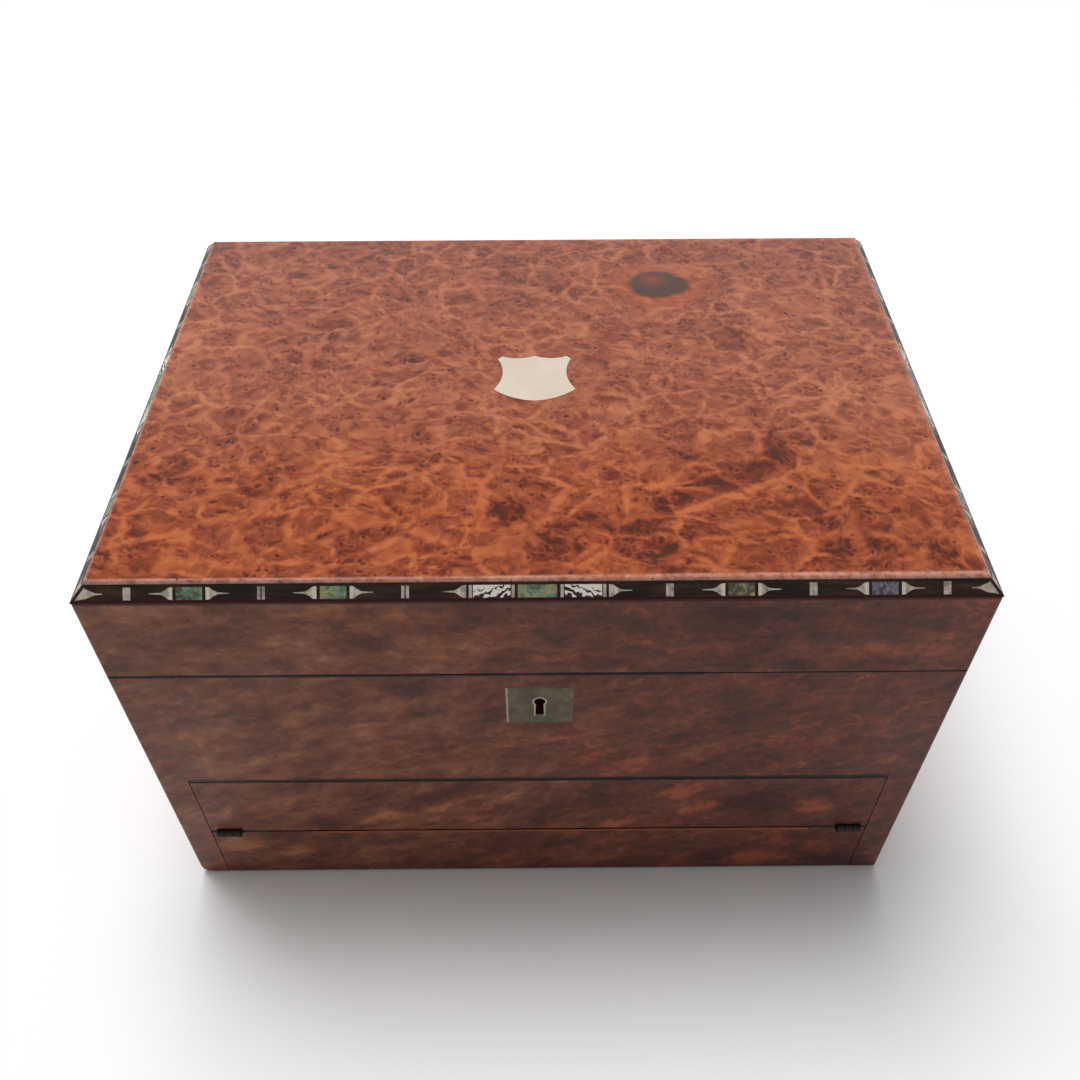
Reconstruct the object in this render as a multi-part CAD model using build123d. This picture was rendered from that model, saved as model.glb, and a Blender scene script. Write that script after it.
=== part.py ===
from build123d import *
import math
import os

os.makedirs("parts", exist_ok=True)

# Antique fitted dressing box, in millimetres.
# +X runs to the right, +Y to the back and +Z up; the origin is the middle of the base.

# ---- case and lid
width = 305.0                   # outside, left to right
depth = 218.0                   # outside, front to back
wall = 12.0                     # boards of the case, veneer included
case_height = 148.0             # table to the seam under the lid
lid_height = 40.0               # seam to the lower edge of the inlaid band
band = 4.4                      # leg of the chamfered band round the top
lip = 1.1                       # rounded edge of the top, above the band
seam = 0.4                      # open seam between the lid and the case
corner_round = 1.2              # wear on the upright corners
left_foot_round = 5.0           # wear under the left side
right_foot_round = 1.2          # wear under the right side
base_board = 6.5                # floor of the case
ceiling = 5.0                   # board between the drawer and the well
fit = 0.05                      # round what is let into wood or screwed down
soft_gap = 0.3                  # round what is padded, lifted out or laid in
turn_fit = 0.05                 # round a pin that turns in its hole

# ---- linings of the well
lining = 3.0                    # thin boards that line the well
front_lining = 6.0              # thicker one in front, with the drawer's catch pin
lining_stand = 3.2              # linings stand this far above the seam
lining_play = 0.4               # between the linings and the lid's walls
bearer = 4.0                    # strips that the tray rests on
well_depth = 22.0               # height of those strips

# ---- base drawer and its falling front
opening_top = 77.0              # top of the drawer's opening above the table
hinge_line = 37.0               # line of the flap's hinges above the table
front_board = 10.0              # thickness of the drawer's front and flap
front_gap = 0.4                 # seam round the drawer's front
flap_gap = 0.9                  # open seam between the flap and the rail below
toe_gap = 1.2                   # drawer's front above the table
drawer_side = 8.0
drawer_floor = 4.0
drawer_play = 0.4               # under and beside the drawer
spring_space = 12.0             # behind the drawer
spring_length = 120.0
spring_width = 12.0
spring_leaf = 0.7
divider = 4.0
ring_pad_depth = 84.0           # of the padded ring rack, front to back
ring_pad_height = 26.0
ring_pad_round = 1.5

# ---- butt hinges of the flap
flap_knuckle = 2.0              # radius of the knuckles
flap_pin = 0.8
flap_knuckles = 3               # on each small hinge, both leaves
flap_knuckle_length = 10.2
flap_knuckle_inset = 7.7        # middle of the knuckles from the end of the flap
flap_leaf = 23.6                # length of a leaf
flap_leaf_depth = 8.0
knuckle_gap = 0.2               # between two knuckles on a pin

# ---- stop hinges of the lid
knuckle_proud = 2.4             # knuckles stand this far out of front and back
lid_knuckle = 2.2
lid_knuckles = 5                # on each hinge, both leaves
lid_pin = 1.0
lid_hinge_length = 40.0
lid_screw_pitch = 14.4
lid_hinge_inset = 56.5          # middle of a hinge from the side of the box
lid_leaf_depth = 10.2
leaf = 1.4                      # thickness of the lid's hinge leaves
flap_leaf_thick = 1.0
knuckle_space = 0.3             # between knuckles and the notches they lie in

# ---- screws
screw_head = 2.0                # radius
screw_shank = 0.9
screw_cone = 1.0                # height of the countersunk head
screw_slot = 0.5
screw_length = 8.0

# ---- lock, keyhole and plates
key_x = 0.5                     # keyhole, right of the middle
key_drop = 17.0                 # keyhole's round head below the seam
key_head = 2.1                  # radius of the round head
key_slot = 8.0                  # from its middle down to the end of the slot
key_waist = 2.6
key_foot = 3.3
plate_width = 24.6              # escutcheon
plate_height = 21.8
plate_thick = 1.2
plate_drop = 2.3                # its middle below the keyhole's head
lock_width = 50.0
lock_height = 29.0
lock_thick = 8.0
lock_wall = 1.0
lock_top = 62.0                 # length of the lock's top plate
lock_top_depth = 9.5
lock_plate = 1.6
tab_side = 14.0                 # link plate's tabs from the middle of the lock
tab_thick = 2.0
tab_depth = 4.0
tab_drop = 10.0                 # tabs reach this far below the case's rim
eye_height = 3.2
eye_depth = 2.2
eye_foot = 1.4                  # metal under the eye
bolt_bar = 3.0
bolt_thick = 2.4
bolt_throw = 5.0                # also the length of the bolt's prongs
prong_thick = 1.6
prong_gap = 0.5                 # tip of a prong to its tab, when unlocked
drill_pin = 0.75                # radius of the pin that the pipe key turns on

# ---- catch pin of the drawer
pin_inset = 5.7                 # its middle from the case's right wall
pin_radius = 1.2
pin_throw = 6.0
pin_knob = 2.3
pin_knob_height = 4.0
pin_knob_round = 1.0
bush_radius = 2.4
bush_height = 1.5

# ---- shell and shield on the lid
shell_thick = 0.4
shell_height = 4.2              # along the slope of the band
jewel_width = 8.6               # squares of abalone
jewel_first = 66.6              # first square from the middle of a side
jewel_pitch = 46.9
centre_jewel = 12.8
bar_width = 2.5
arrow_length = 7.6
arrow_gap = 1.1                 # ebony between an arrow and its square
panel_width = 12.2              # engraved panels beside the centre square
thin_bar = 1.0
panel_gap = 0.35                # ebony between a panel and its thin bars
corner_arrow = 6.0
end_bar_inset = 18.7            # from a corner to the middle of the last bar, at least
shield_width = 32.0
shield_height = 28.6
shield_thick = 0.8
shield_gap = 0.3                  # dark gap between the shield and the veneer
shield_x = -0.5
shield_y = 1.3                  # its middle behind the middle of the top

# ---- outlines of the shield and spearheads
# each point is a share of half the shield's width and of half its height
shield_peak = (0.386, 0.884)
shield_horn = (0.81, 0.98)
shield_ear = (0.92, 0.85)
shield_waist = (0.79, 0.3)
shield_hip = (1.0, -0.5)
shield_foot = (0.52, -0.86)
# each point is a share of the spearhead's length and of half the shell's height
arrow_outline = [(0.0, 1.0), (0.171, 0.92), (0.34, 0.46), (0.52, 0.157), (1.0, 0.057)]
corner_outline = [(0.137, 0.7), (0.62, 0.143), (1.0, 0.057)]

# ---- lid's fittings
pad_thick = 6.5
frame_side_gap = 22.9           # silk that shows beside the mirror's frame
frame_end_gap = 17.4            # and in front of it and behind it
frame_rail = 15.0
frame_thick = 6.6
frame_lip = 2.4                 # of the rail, in front of the glass
glass_thick = 3.0
glass_overlap = 4.0
post_radius = 3.5
post_gap = 2.5                  # between the mirror's frame and a post
button_length = 21.0
button_width = 8.0
button_thick = 1.5
button_pin = 1.2
button_head = 2.4
button_head_height = 1.0

# ---- lift-out tray and what stands in it
tray_floor = 3.0
tray_wall = 3.5
tray_height = 41.0
tray_divider = 2.5
column_width = 55.0             # left and right columns of the tray
cell_front = 60.0               # length of the cells in the front corners
cell_back = 54.0                # length of the cells in the back corners
centre_back = 66.0              # length of the middle cell at the back
tab_strap = 12.0                # width of the lifting straps
tab_strap_thick = 1.2
jar_side = 46.0                 # square glass jars
jar_radius = 21.0               # round glass jars
jar_height = 27.0
jar_well = 16.5                 # radius of a jar's hollow
jar_floor = 4.0
cap_height = 9.0
square_cap_round = 3.0          # rounding of a square cap's top edge
round_cap_dome = 4.5            # rounding of a round cap's top edge
cap_spigot = 3.0

# ---- worked out from the sizes above
half_w = width / 2
half_d = depth / 2
in_x = half_w - wall
in_y = half_d - wall
rim = case_height - seam / 2
lid_low = case_height + seam / 2
band_low = case_height + lid_height
top_side = half_w - band
top_end = half_d - band
top_z = band_low + band + lip
lid_wall = wall - lining_play
lid_in_x = half_w - lid_wall
lid_in_y = half_d - lid_wall
front_low = opening_top + front_gap / 2
well_floor = front_low + ceiling
drawer_x = in_x - drawer_play
drawer_front = -half_d + front_board
drawer_back = in_y - spring_space
drawer_low = base_board + drawer_play
drawer_in = drawer_x - drawer_side
rail_top = hinge_line - flap_gap / 2
flap_low = hinge_line + flap_gap / 2
flap_top = opening_top - front_gap / 2
drawer_top = flap_top
floor_top = drawer_low + soft_gap + drawer_floor
flap_axis = -half_d - (knuckle_proud - flap_knuckle)
lid_axis = half_d + (knuckle_proud - lid_knuckle)
lid_hinge_side = half_w - lid_hinge_inset
flap_knuckle_side = drawer_x - flap_knuckle_inset
pin_side = in_x - pin_inset
frame_width = 2 * (lid_in_x - frame_side_gap)
frame_depth = 2 * (lid_in_y - frame_end_gap)
well_x = in_x - lining
well_front = -in_y + front_lining
well_back = in_y - lining
lining_top = case_height + lining_stand
tray_x = well_x - soft_gap
tray_front = well_front + soft_gap
tray_back = well_back - soft_gap
tray_seat = well_floor + well_depth
tray_low = tray_seat + soft_gap
cell_low = tray_low + tray_floor
tray_top = tray_low + tray_height
key_z = case_height - key_drop
pad_low = band_low - soft_gap - pad_thick
frame_top = pad_low - soft_gap
frame_low = frame_top - frame_thick
button_x = frame_width / 2 + post_gap + post_radius


# ================================================================ simple shapes
def block(x0, x1, y0, y1, z0, z1):
    """A board between two corners."""
    return Pos((x0 + x1) / 2, (y0 + y1) / 2, (z0 + z1) / 2) * Box(x1 - x0, y1 - y0, z1 - z0)


def rod_x(x0, x1, y, z, radius):
    """A round rod along X."""
    return Pos((x0 + x1) / 2, y, z) * Rot(0, 90, 0) * Cylinder(radius, x1 - x0)


def rod_y(y0, y1, x, z, radius):
    """A round rod along Y."""
    return Pos(x, (y0 + y1) / 2, z) * Rot(90, 0, 0) * Cylinder(radius, y1 - y0)


def rod_z(z0, z1, x, y, radius):
    """A round rod along Z."""
    return Pos(x, y, (z0 + z1) / 2) * Cylinder(radius, z1 - z0)


def both_sides(make, x):
    """The same piece at -x and at +x."""
    return [make(-x), make(x)]


def write(name, *pieces):
    """One STEP file for a node, with each of its solids kept apart."""
    solids = [solid for piece in pieces for solid in piece.solids()]
    shape = solids[0] if len(solids) == 1 else Compound(children=solids)
    export_step(shape, f"parts/{name}.step")


def upright_edges(shape, x, y):
    """Vertical edges of a board at one outside corner of the box."""
    def at_corner(edge):
        middle = edge.center()
        return abs(middle.X - x) < fit and abs(middle.Y - y) < fit
    return shape.edges().filter_by(Axis.Z).filter_by(at_corner)


# ================================================================ screws
def screw(x, y, z, up):
    """A countersunk wood screw, its head flush at z, driven up or down."""
    head = Pos(0, 0, -screw_cone / 2) * Cone(screw_shank, screw_head, screw_cone)
    shank = rod_z(-screw_length, -screw_cone, 0, 0, screw_shank)
    slot = block(-screw_head, screw_head, -screw_slot / 2, screw_slot / 2, -screw_slot, 0)
    turn = Rot(180, 0, 0) if up else Rot(0, 0, 0)
    return Pos(x, y, z) * turn * (head + shank - slot)


def screw_hole(x, y, z, up):
    """The hole that such a screw fills, in metal and in wood."""
    cone = Cone(screw_shank + fit, screw_head + fit, screw_cone)
    shank = rod_z(-screw_length - fit, -screw_cone, 0, 0, screw_shank + fit)
    turn = Rot(180, 0, 0) if up else Rot(0, 0, 0)
    return Pos(x, y, z) * turn * (Pos(0, 0, -screw_cone / 2) * cone + shank)


def cut_all(shape, tools):
    """Take each tool out of a shape."""
    for tool in tools:
        shape = shape - tool
    return shape


# ================================================================ hinges
def knuckle_row(x, length, count, parity, y, z, radius):
    """Every second knuckle of a hinge: the even ones or the odd ones."""
    step = length / count
    row = []
    for index in range(parity, count, 2):
        start = x - length / 2 + index * step
        row.append(rod_x(start + knuckle_gap / 2, start + step - knuckle_gap / 2, y, z, radius))
    return row


def hinge_leaf(plate, x, length, count, parity, y, z, radius, pin):
    """A leaf with its knuckles, cleared for the other leaf's and bored for the pin."""
    step = length / count
    shape = plate
    for index in range(1 - parity, count, 2):
        start = x - length / 2 + index * step
        shape = shape - rod_x(start - knuckle_gap / 2, start + step + knuckle_gap / 2, y, z,
                              radius + knuckle_space)
    for knuckle in knuckle_row(x, length, count, parity, y, z, radius):
        shape = shape + knuckle
    return shape - rod_x(x - length, x + length, y, z, pin + turn_fit)


def knuckle_notch(x, length, y, z, radius):
    """The room for a hinge's knuckles in the edge of a board."""
    end = length / 2 + knuckle_space
    return rod_x(x - end, x + end, y, z, radius + knuckle_space)


def hinge_pin(x, length, y, z, pin):
    """The wire that a hinge turns on."""
    return rod_x(x - length / 2, x + length / 2, y, z, pin)


lid_screws = [-lid_screw_pitch, 0.0, lid_screw_pitch]
lid_screw_y = half_d - lid_leaf_depth / 2 - knuckle_proud


def lid_leaf_plate(x, low, high, room):
    """The flat of a leaf of the lid's hinges, or the mortise for it."""
    end = lid_hinge_length / 2 + room
    return block(x - end, x + end, half_d - lid_leaf_depth - room, half_d, low, high)


def case_leaf(x):
    plate = lid_leaf_plate(x, rim - leaf, rim, 0)
    shape = hinge_leaf(plate, x, lid_hinge_length, lid_knuckles, 0, lid_axis, case_height, lid_knuckle, lid_pin)
    return cut_all(shape, [screw_hole(x + dx, lid_screw_y, rim, False) for dx in lid_screws])


def lid_leaf(x):
    plate = lid_leaf_plate(x, lid_low, lid_low + leaf, 0)
    shape = hinge_leaf(plate, x, lid_hinge_length, lid_knuckles, 1, lid_axis, case_height, lid_knuckle, lid_pin)
    return cut_all(shape, [screw_hole(x + dx, lid_screw_y, lid_low, True) for dx in lid_screws])


def flap_leaf_plate(x, low, high, room):
    """The flat of a leaf of the flap's hinges, or the mortise for it.

    It reaches from the end of the flap to beyond its knuckles, towards the middle.
    """
    outer = drawer_x
    inner = drawer_x - flap_leaf - room
    x0, x1 = (inner, outer) if x > 0 else (-outer, -inner)
    return block(x0, x1, -half_d, -half_d + flap_leaf_depth + room, low, high)


def rail_leaf(x):
    plate = flap_leaf_plate(x, rail_top - flap_leaf_thick / 2, hinge_line - knuckle_gap / 2, 0)
    return hinge_leaf(plate, x, flap_knuckle_length, flap_knuckles, 0, flap_axis, hinge_line,
                      flap_knuckle, flap_pin)


def flap_leaf_piece(x):
    plate = flap_leaf_plate(x, hinge_line + knuckle_gap / 2, flap_low + flap_leaf_thick / 2, 0)
    return hinge_leaf(plate, x, flap_knuckle_length, flap_knuckles, 1, flap_axis, hinge_line,
                      flap_knuckle, flap_pin)


# ================================================================ keyhole and lock
lock_x = key_x
lock_front = -in_y - lock_thick
lock_mid = -in_y - lock_thick / 2
lock_low = rim - lock_height
eye_z = rim - tab_drop + eye_foot + eye_height / 2
bolt_top = rim - tab_drop - eye_foot


def keyhole(y0, y1):
    """A keyhole cut through along Y: a round head over a slot that widens downwards."""
    head = rod_y(y0, y1, key_x, key_z, key_head)
    foot = key_z - key_slot
    outline = Polyline((key_x - key_waist / 2, key_z), (key_x + key_waist / 2, key_z),
                       (key_x + key_foot / 2, foot), (key_x - key_foot / 2, foot), close=True)
    flat = make_face([edge.moved(Location((0, 0, 0))) for edge in outline.edges()])
    slot = extrude(Plane(origin=(0, y0, 0), x_dir=(1, 0, 0), z_dir=(0, -1, 0)) * flat,
                   amount=-(y1 - y0))
    return head + slot


def lock_body(room):
    """The outside of the lock's case, or the mortise for it."""
    half = lock_width / 2 + room
    return block(lock_x - half, lock_x + half, lock_front - room, -in_y, lock_low - room, rim)


def lock_top_plate(room):
    half = lock_top / 2 + room
    return block(lock_x - half, lock_x + half, -in_y - lock_top_depth - room, -in_y,
                 rim - lock_plate, rim)


lock_screw_x = (lock_width + lock_top) / 4
lock_screw_y = -in_y - lock_top_depth / 2


def tab_slot(x):
    """The slot in the top plate that a tab of the link plate drops through."""
    half_x = tab_thick / 2 + prong_gap
    half_y = lock_thick / 2 - lock_wall
    return block(x - half_x, x + half_x, lock_mid - half_y, lock_mid + half_y,
                 rim - lock_plate, rim)


def make_lock_case():
    half = lock_width / 2 - lock_wall
    hollow = block(lock_x - half, lock_x + half, lock_front + lock_wall, -in_y - lock_wall,
                   lock_low + lock_wall, rim - lock_plate)
    shape = lock_body(0) - hollow + lock_top_plate(0)
    shape = shape - keyhole(lock_front - lock_wall, lock_front + lock_wall * 2)
    shape = shape + rod_y(lock_front, -in_y, key_x, key_z, drill_pin)
    tabs = [tab_slot(lock_x - tab_side), tab_slot(lock_x + tab_side)]
    holes = [screw_hole(lock_x + side * lock_screw_x, lock_screw_y, rim, False) for side in (-1, 1)]
    return cut_all(shape, tabs + holes)


def make_bolt():
    """A bar with two hooked prongs that enter the eyes of the link plate's tabs."""
    tip = -tab_thick / 2 - prong_gap
    riser = tip - bolt_throw - bolt_bar
    y0, y1 = lock_mid - bolt_thick / 2, lock_mid + bolt_thick / 2
    prong_top = eye_z + prong_thick / 2
    bar = block(lock_x - tab_side + riser, lock_x + tab_side + tip, y0, y1,
                bolt_top - bolt_bar, bolt_top)
    for side in (-1, 1):
        x = lock_x + side * tab_side
        bar = bar + block(x + riser, x + riser + bolt_bar, y0, y1, bolt_top - bolt_bar, prong_top)
        bar = bar + block(x + riser, x + tip, lock_mid - prong_thick / 2, lock_mid + prong_thick / 2,
                          eye_z - prong_thick / 2, prong_top)
    return bar


def link_plate_flat(room):
    half = lock_top / 2 + room
    return block(lock_x - half, lock_x + half, -in_y - lock_top_depth - room, -lid_in_y,
                 lid_low, lid_low + lock_plate)


def make_link_plate():
    shape = link_plate_flat(0)
    for side in (-1, 1):
        x = lock_x + side * tab_side
        tab = block(x - tab_thick / 2, x + tab_thick / 2, lock_mid - tab_depth / 2,
                    lock_mid + tab_depth / 2, rim - tab_drop, lid_low)
        eye = block(x - tab_thick, x + tab_thick, lock_mid - eye_depth / 2, lock_mid + eye_depth / 2,
                    eye_z - eye_height / 2, eye_z + eye_height / 2)
        shape = shape + tab - eye
    holes = [screw_hole(lock_x + side * lock_screw_x, lock_screw_y, lid_low, True) for side in (-1, 1)]
    return cut_all(shape, holes)


def escutcheon_plate(room):
    half = plate_width / 2 + room
    low = key_z - plate_drop - plate_height / 2 - room
    high = key_z - plate_drop + plate_height / 2 + room
    return block(key_x - half, key_x + half, -half_d, -half_d + plate_thick, low, high)


# ================================================================ case
def make_base_board():
    return block(-in_x, in_x, drawer_front + front_gap, in_y, 0, base_board)


def make_case_side(side, foot_round):
    x0, x1 = sorted((side * in_x, side * half_w))
    shape = block(x0, x1, -half_d, half_d, 0, rim)
    under = shape.edges().filter_by(Axis.Y).group_by(Axis.Z)[0].sort_by(Axis.X)[0 if side < 0 else -1]
    shape = fillet(under, foot_round)
    corners = upright_edges(shape, side * half_w, -half_d) + upright_edges(shape, side * half_w, half_d)
    return fillet(corners, corner_round)


def make_case_back():
    shape = block(-in_x, in_x, in_y, half_d, 0, rim)
    for x in (-lid_hinge_side, lid_hinge_side):
        shape = shape - lid_leaf_plate(x, rim - leaf, rim, fit)
        shape = shape - knuckle_notch(x, lid_hinge_length, lid_axis, case_height, lid_knuckle)
        shape = cut_all(shape, [screw_hole(x + dx, lid_screw_y, rim, False) for dx in lid_screws])
    return shape - spring_screw_hole()


def make_case_front():
    shape = block(-in_x, in_x, -half_d, -in_y, front_low, rim)
    shape = shape - lock_body(fit) - lock_top_plate(fit)
    shape = shape - keyhole(-half_d, lock_front) - escutcheon_plate(fit)
    holes = [screw_hole(lock_x + side * lock_screw_x, lock_screw_y, rim, False) for side in (-1, 1)]
    return cut_all(shape, holes)


def make_ceiling():
    shape = block(-in_x, in_x, -in_y, in_y, front_low, well_floor)
    return shape - rod_z(front_low, well_floor, pin_side, pin_y, pin_radius + soft_gap)


def make_linings():
    """Boards round the well that stand above the rim and locate the lid."""
    sides = [block(*sorted((side * well_x, side * in_x)), -in_y, in_y, well_floor, lining_top)
             for side in (-1, 1)]
    back = block(-well_x, well_x, well_back, in_y, well_floor, lining_top)
    front = block(-well_x, well_x, -in_y, well_front, well_floor, lining_top)
    front = front - rod_z(well_floor, lining_top, pin_side, pin_y, pin_radius + soft_gap)
    front = front - rod_z(lining_top - bush_height, lining_top, pin_side, pin_y, bush_radius + fit)
    return sides + [back, front]


def make_bearers():
    return [block(*sorted((side * well_x, side * (well_x - bearer))), well_front, well_back,
                  well_floor, tray_seat) for side in (-1, 1)]


# ================================================================ catch pin and spring of the drawer
pin_y = -in_y + front_lining / 2
pin_rest = front_low + soft_gap
knob_low = lining_top + pin_throw


def make_catch_pin():
    """A brass pin with a knob, drawn up here; pushed down it enters the drawer's side."""
    shape = rod_z(pin_rest, knob_low, pin_side, pin_y, pin_radius)
    knob = rod_z(knob_low, knob_low + pin_knob_height, pin_side, pin_y, pin_knob)
    knob = fillet(knob.edges().group_by(Axis.Z)[-1], pin_knob_round)
    return shape + knob


def make_bush():
    shape = rod_z(lining_top - bush_height, lining_top, pin_side, pin_y, bush_radius)
    return shape - rod_z(lining_top - bush_height, lining_top, pin_side, pin_y,
                         pin_radius + turn_fit)


spring_z = (base_board + opening_top) / 2


def make_spring():
    """A bowed leaf, screwed at its middle to the case's back; its ends press the drawer."""
    half = spring_length / 2
    tip = drawer_back + soft_gap
    middle = in_y - spring_leaf
    inner = ThreePointArc((-half, tip), (0, middle), (half, tip))
    outer = ThreePointArc((half, tip + spring_leaf), (0, in_y), (-half, tip + spring_leaf))
    ends = [Line((half, tip), (half, tip + spring_leaf)), Line((-half, tip + spring_leaf), (-half, tip))]
    flat = make_face([inner, ends[0], outer, ends[1]])
    strip = extrude(Plane.XY.offset(spring_z - spring_width / 2) * flat, amount=spring_width)
    return strip - rod_y(middle - spring_leaf, in_y, 0, spring_z, screw_shank + fit)


def make_spring_screw():
    """A round-headed screw through the spring."""
    head = in_y - spring_leaf - fit
    shape = rod_y(head - screw_cone, head, 0, spring_z, screw_head)
    shape = shape + rod_y(head - fit, in_y + screw_length - wall / 4, 0, spring_z, screw_shank)
    return shape - block(-screw_head, screw_head, head - screw_cone, head - screw_cone + screw_slot,
                         spring_z - screw_slot / 2, spring_z + screw_slot / 2)


def spring_screw_hole():
    return rod_y(in_y, in_y + screw_length - wall / 4 + fit, 0, spring_z, screw_shank + fit)


# ================================================================ lid
def make_lid_side(side):
    x0, x1 = sorted((side * lid_in_x, side * half_w))
    shape = block(x0, x1, -half_d, half_d, lid_low, band_low)
    corners = upright_edges(shape, side * half_w, -half_d) + upright_edges(shape, side * half_w, half_d)
    return fillet(corners, corner_round)


def make_lid_front():
    shape = block(-lid_in_x, lid_in_x, -half_d, -lid_in_y, lid_low, band_low) - link_plate_flat(fit)
    holes = [screw_hole(lock_x + side * lock_screw_x, lock_screw_y, lid_low, True) for side in (-1, 1)]
    return cut_all(shape, holes)


def make_lid_back():
    shape = block(-lid_in_x, lid_in_x, lid_in_y, half_d, lid_low, band_low)
    for x in (-lid_hinge_side, lid_hinge_side):
        shape = shape - lid_leaf_plate(x, lid_low, lid_low + leaf, fit)
        shape = shape - knuckle_notch(x, lid_hinge_length, lid_axis, case_height, lid_knuckle)
        shape = cut_all(shape, [screw_hole(x + dx, lid_screw_y, lid_low, True) for dx in lid_screws])
    return shape


def make_lid_top():
    shape = block(-top_side, top_side, -top_end, top_end, band_low, top_z)
    shape = fillet(shape.edges().group_by(Axis.Z)[-1], lip)
    for x in (-button_x, button_x):
        shape = shape - rod_z(band_low, band_low + band / 2, x, 0, post_radius + fit)
    return shape - shield_solid(shield_gap)


def shield_outline(room):
    """A cartouche: a peaked top edge, hollow sides and a rounded foot with a point."""
    half = shield_width / 2 + room
    high = shield_height / 2 + room
    peak, horn, ear, waist, hip, foot = [
        (half * across, high * up)
        for across, up in (shield_peak, shield_horn, shield_ear, shield_waist, shield_hip, shield_foot)]
    edges = [
        ThreePointArc((0, high), peak, horn),
        Line(horn, ear),
        ThreePointArc(ear, waist, hip),
        ThreePointArc(hip, foot, (0, -high)),
    ]
    mirrored = [edge.mirror(Plane.YZ) for edge in edges]
    return make_face(edges + mirrored)


def shield_solid(room):
    """The shield's plate, or the recess for it, flush with the top."""
    flat = Pos(shield_x, shield_y, top_z - shield_thick) * shield_outline(room)
    return extrude(flat, amount=shield_thick)


# ================================================================ inlaid band
def strip_solid(length, offset):
    """One side of the band: a mitred strip with a 45 degree face, along the front."""
    half = length / 2
    flat = make_face(Polyline((-half, -offset), (half, -offset), (half - band, -offset + band),
                              (-half + band, -offset + band), close=True).edges())
    prism = extrude(Pos(0, 0, band_low) * flat, amount=band)
    section = make_face(Polyline((-offset, band_low), (-offset + band, band_low),
                                 (-offset + band, band_low + band), close=True).edges())
    roof = extrude(Plane(origin=(-half, 0, 0), x_dir=(0, 1, 0), z_dir=(1, 0, 0)) * section,
                   amount=length)
    return prism & roof


def slope_plane(offset):
    """The face of the strip: X along it, Y up the slope."""
    return Plane(origin=(0, -offset + band / 2, band_low + band / 2), x_dir=(1, 0, 0),
                 z_dir=(0, -1, 1))


def plate_on_slope(points, offset):
    """A thin piece of shell let into the strip's face."""
    flat = make_face(Polyline(*points, close=True).edges())
    return extrude(slope_plane(offset) * flat, amount=-shell_thick)


def bar_points(start, end):
    half = shell_height / 2
    return [(start, -half), (end, -half), (end, half), (start, half)]


def arrow_points(start, way, length):
    """A spearhead: a full-height base, a hollow flare and a narrow tip."""
    half = shell_height / 2
    side = [(along * length, height * half) for along, height in arrow_outline]
    points = side + [(along, -height) for along, height in reversed(side)]
    return [(start + way * along, height) for along, height in points]


def corner_points(half_length, way):
    """The spearhead in a corner, cut to the mitre, its tip towards the middle."""
    half = shell_height / 2
    run = half / math.sqrt(2)
    outer = half_length - band / 2 - arrow_gap
    side = [(outer - run, half)]
    side += [(outer - run - along * corner_arrow, height * half) for along, height in corner_outline]
    under = [(along, -height) for along, height in reversed(side[1:])] + [(outer + run, -half)]
    return [(way * along, height) for along, height in side + under]


def bar_places(half_length):
    """Middles of the plain bars between the squares, out to the corner."""
    places = [jewel_first - jewel_pitch / 2]
    while places[-1] + jewel_pitch < half_length - corner_arrow - band:
        places.append(places[-1] + jewel_pitch)
    places[-1] = min(places[-1], half_length - end_bar_inset)
    return places


def jewel_places(half_length):
    """Middles of the squares on one half of a side."""
    places = []
    place = jewel_first
    while place + jewel_width / 2 + arrow_gap + arrow_length < half_length - corner_arrow:
        places.append(place)
        place = place + jewel_pitch
    return places


def pearl_pieces(length, offset):
    """Mother-of-pearl of one side: engraved panels, bars and spearheads."""
    outlines = []
    reach = jewel_width / 2 + arrow_gap
    for way in (-1, 1):
        start = centre_jewel / 2 + arrow_gap
        for piece in (thin_bar, panel_width, thin_bar):
            outlines.append(bar_points(*sorted((way * start, way * (start + piece)))))
            start = start + piece + panel_gap
        outlines.append(arrow_points(way * (start + arrow_gap / 2), way, arrow_length))
        for place in jewel_places(length / 2):
            outlines.append(arrow_points(way * (place + reach), way, arrow_length))
            outlines.append(arrow_points(way * (place - reach), -way, arrow_length))
        for place in bar_places(length / 2):
            ends = sorted((way * (place - bar_width / 2), way * (place + bar_width / 2)))
            outlines.append(bar_points(*ends))
        outlines.append(corner_points(length / 2, way))
    return [plate_on_slope(points, offset) for points in outlines]


def jewel_pieces(length, offset):
    """Abalone of one side: the centre piece and the squares."""
    outlines = [bar_points(-centre_jewel / 2, centre_jewel / 2)]
    for place in jewel_places(length / 2):
        for way in (-1, 1):
            middle = way * place
            outlines.append(bar_points(middle - jewel_width / 2, middle + jewel_width / 2))
    return [plate_on_slope(points, offset) for points in outlines]


# ================================================================ lid's lining and mirror
def make_pad():
    """Padded silk over the inside of the lid's top."""
    shape = block(-lid_in_x + soft_gap, lid_in_x - soft_gap, -lid_in_y + soft_gap,
                  lid_in_y - soft_gap, pad_low, band_low - soft_gap)
    for x in (-button_x, button_x):
        shape = shape - rod_z(pad_low, band_low, x, 0, post_radius + soft_gap)
    return shape


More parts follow.
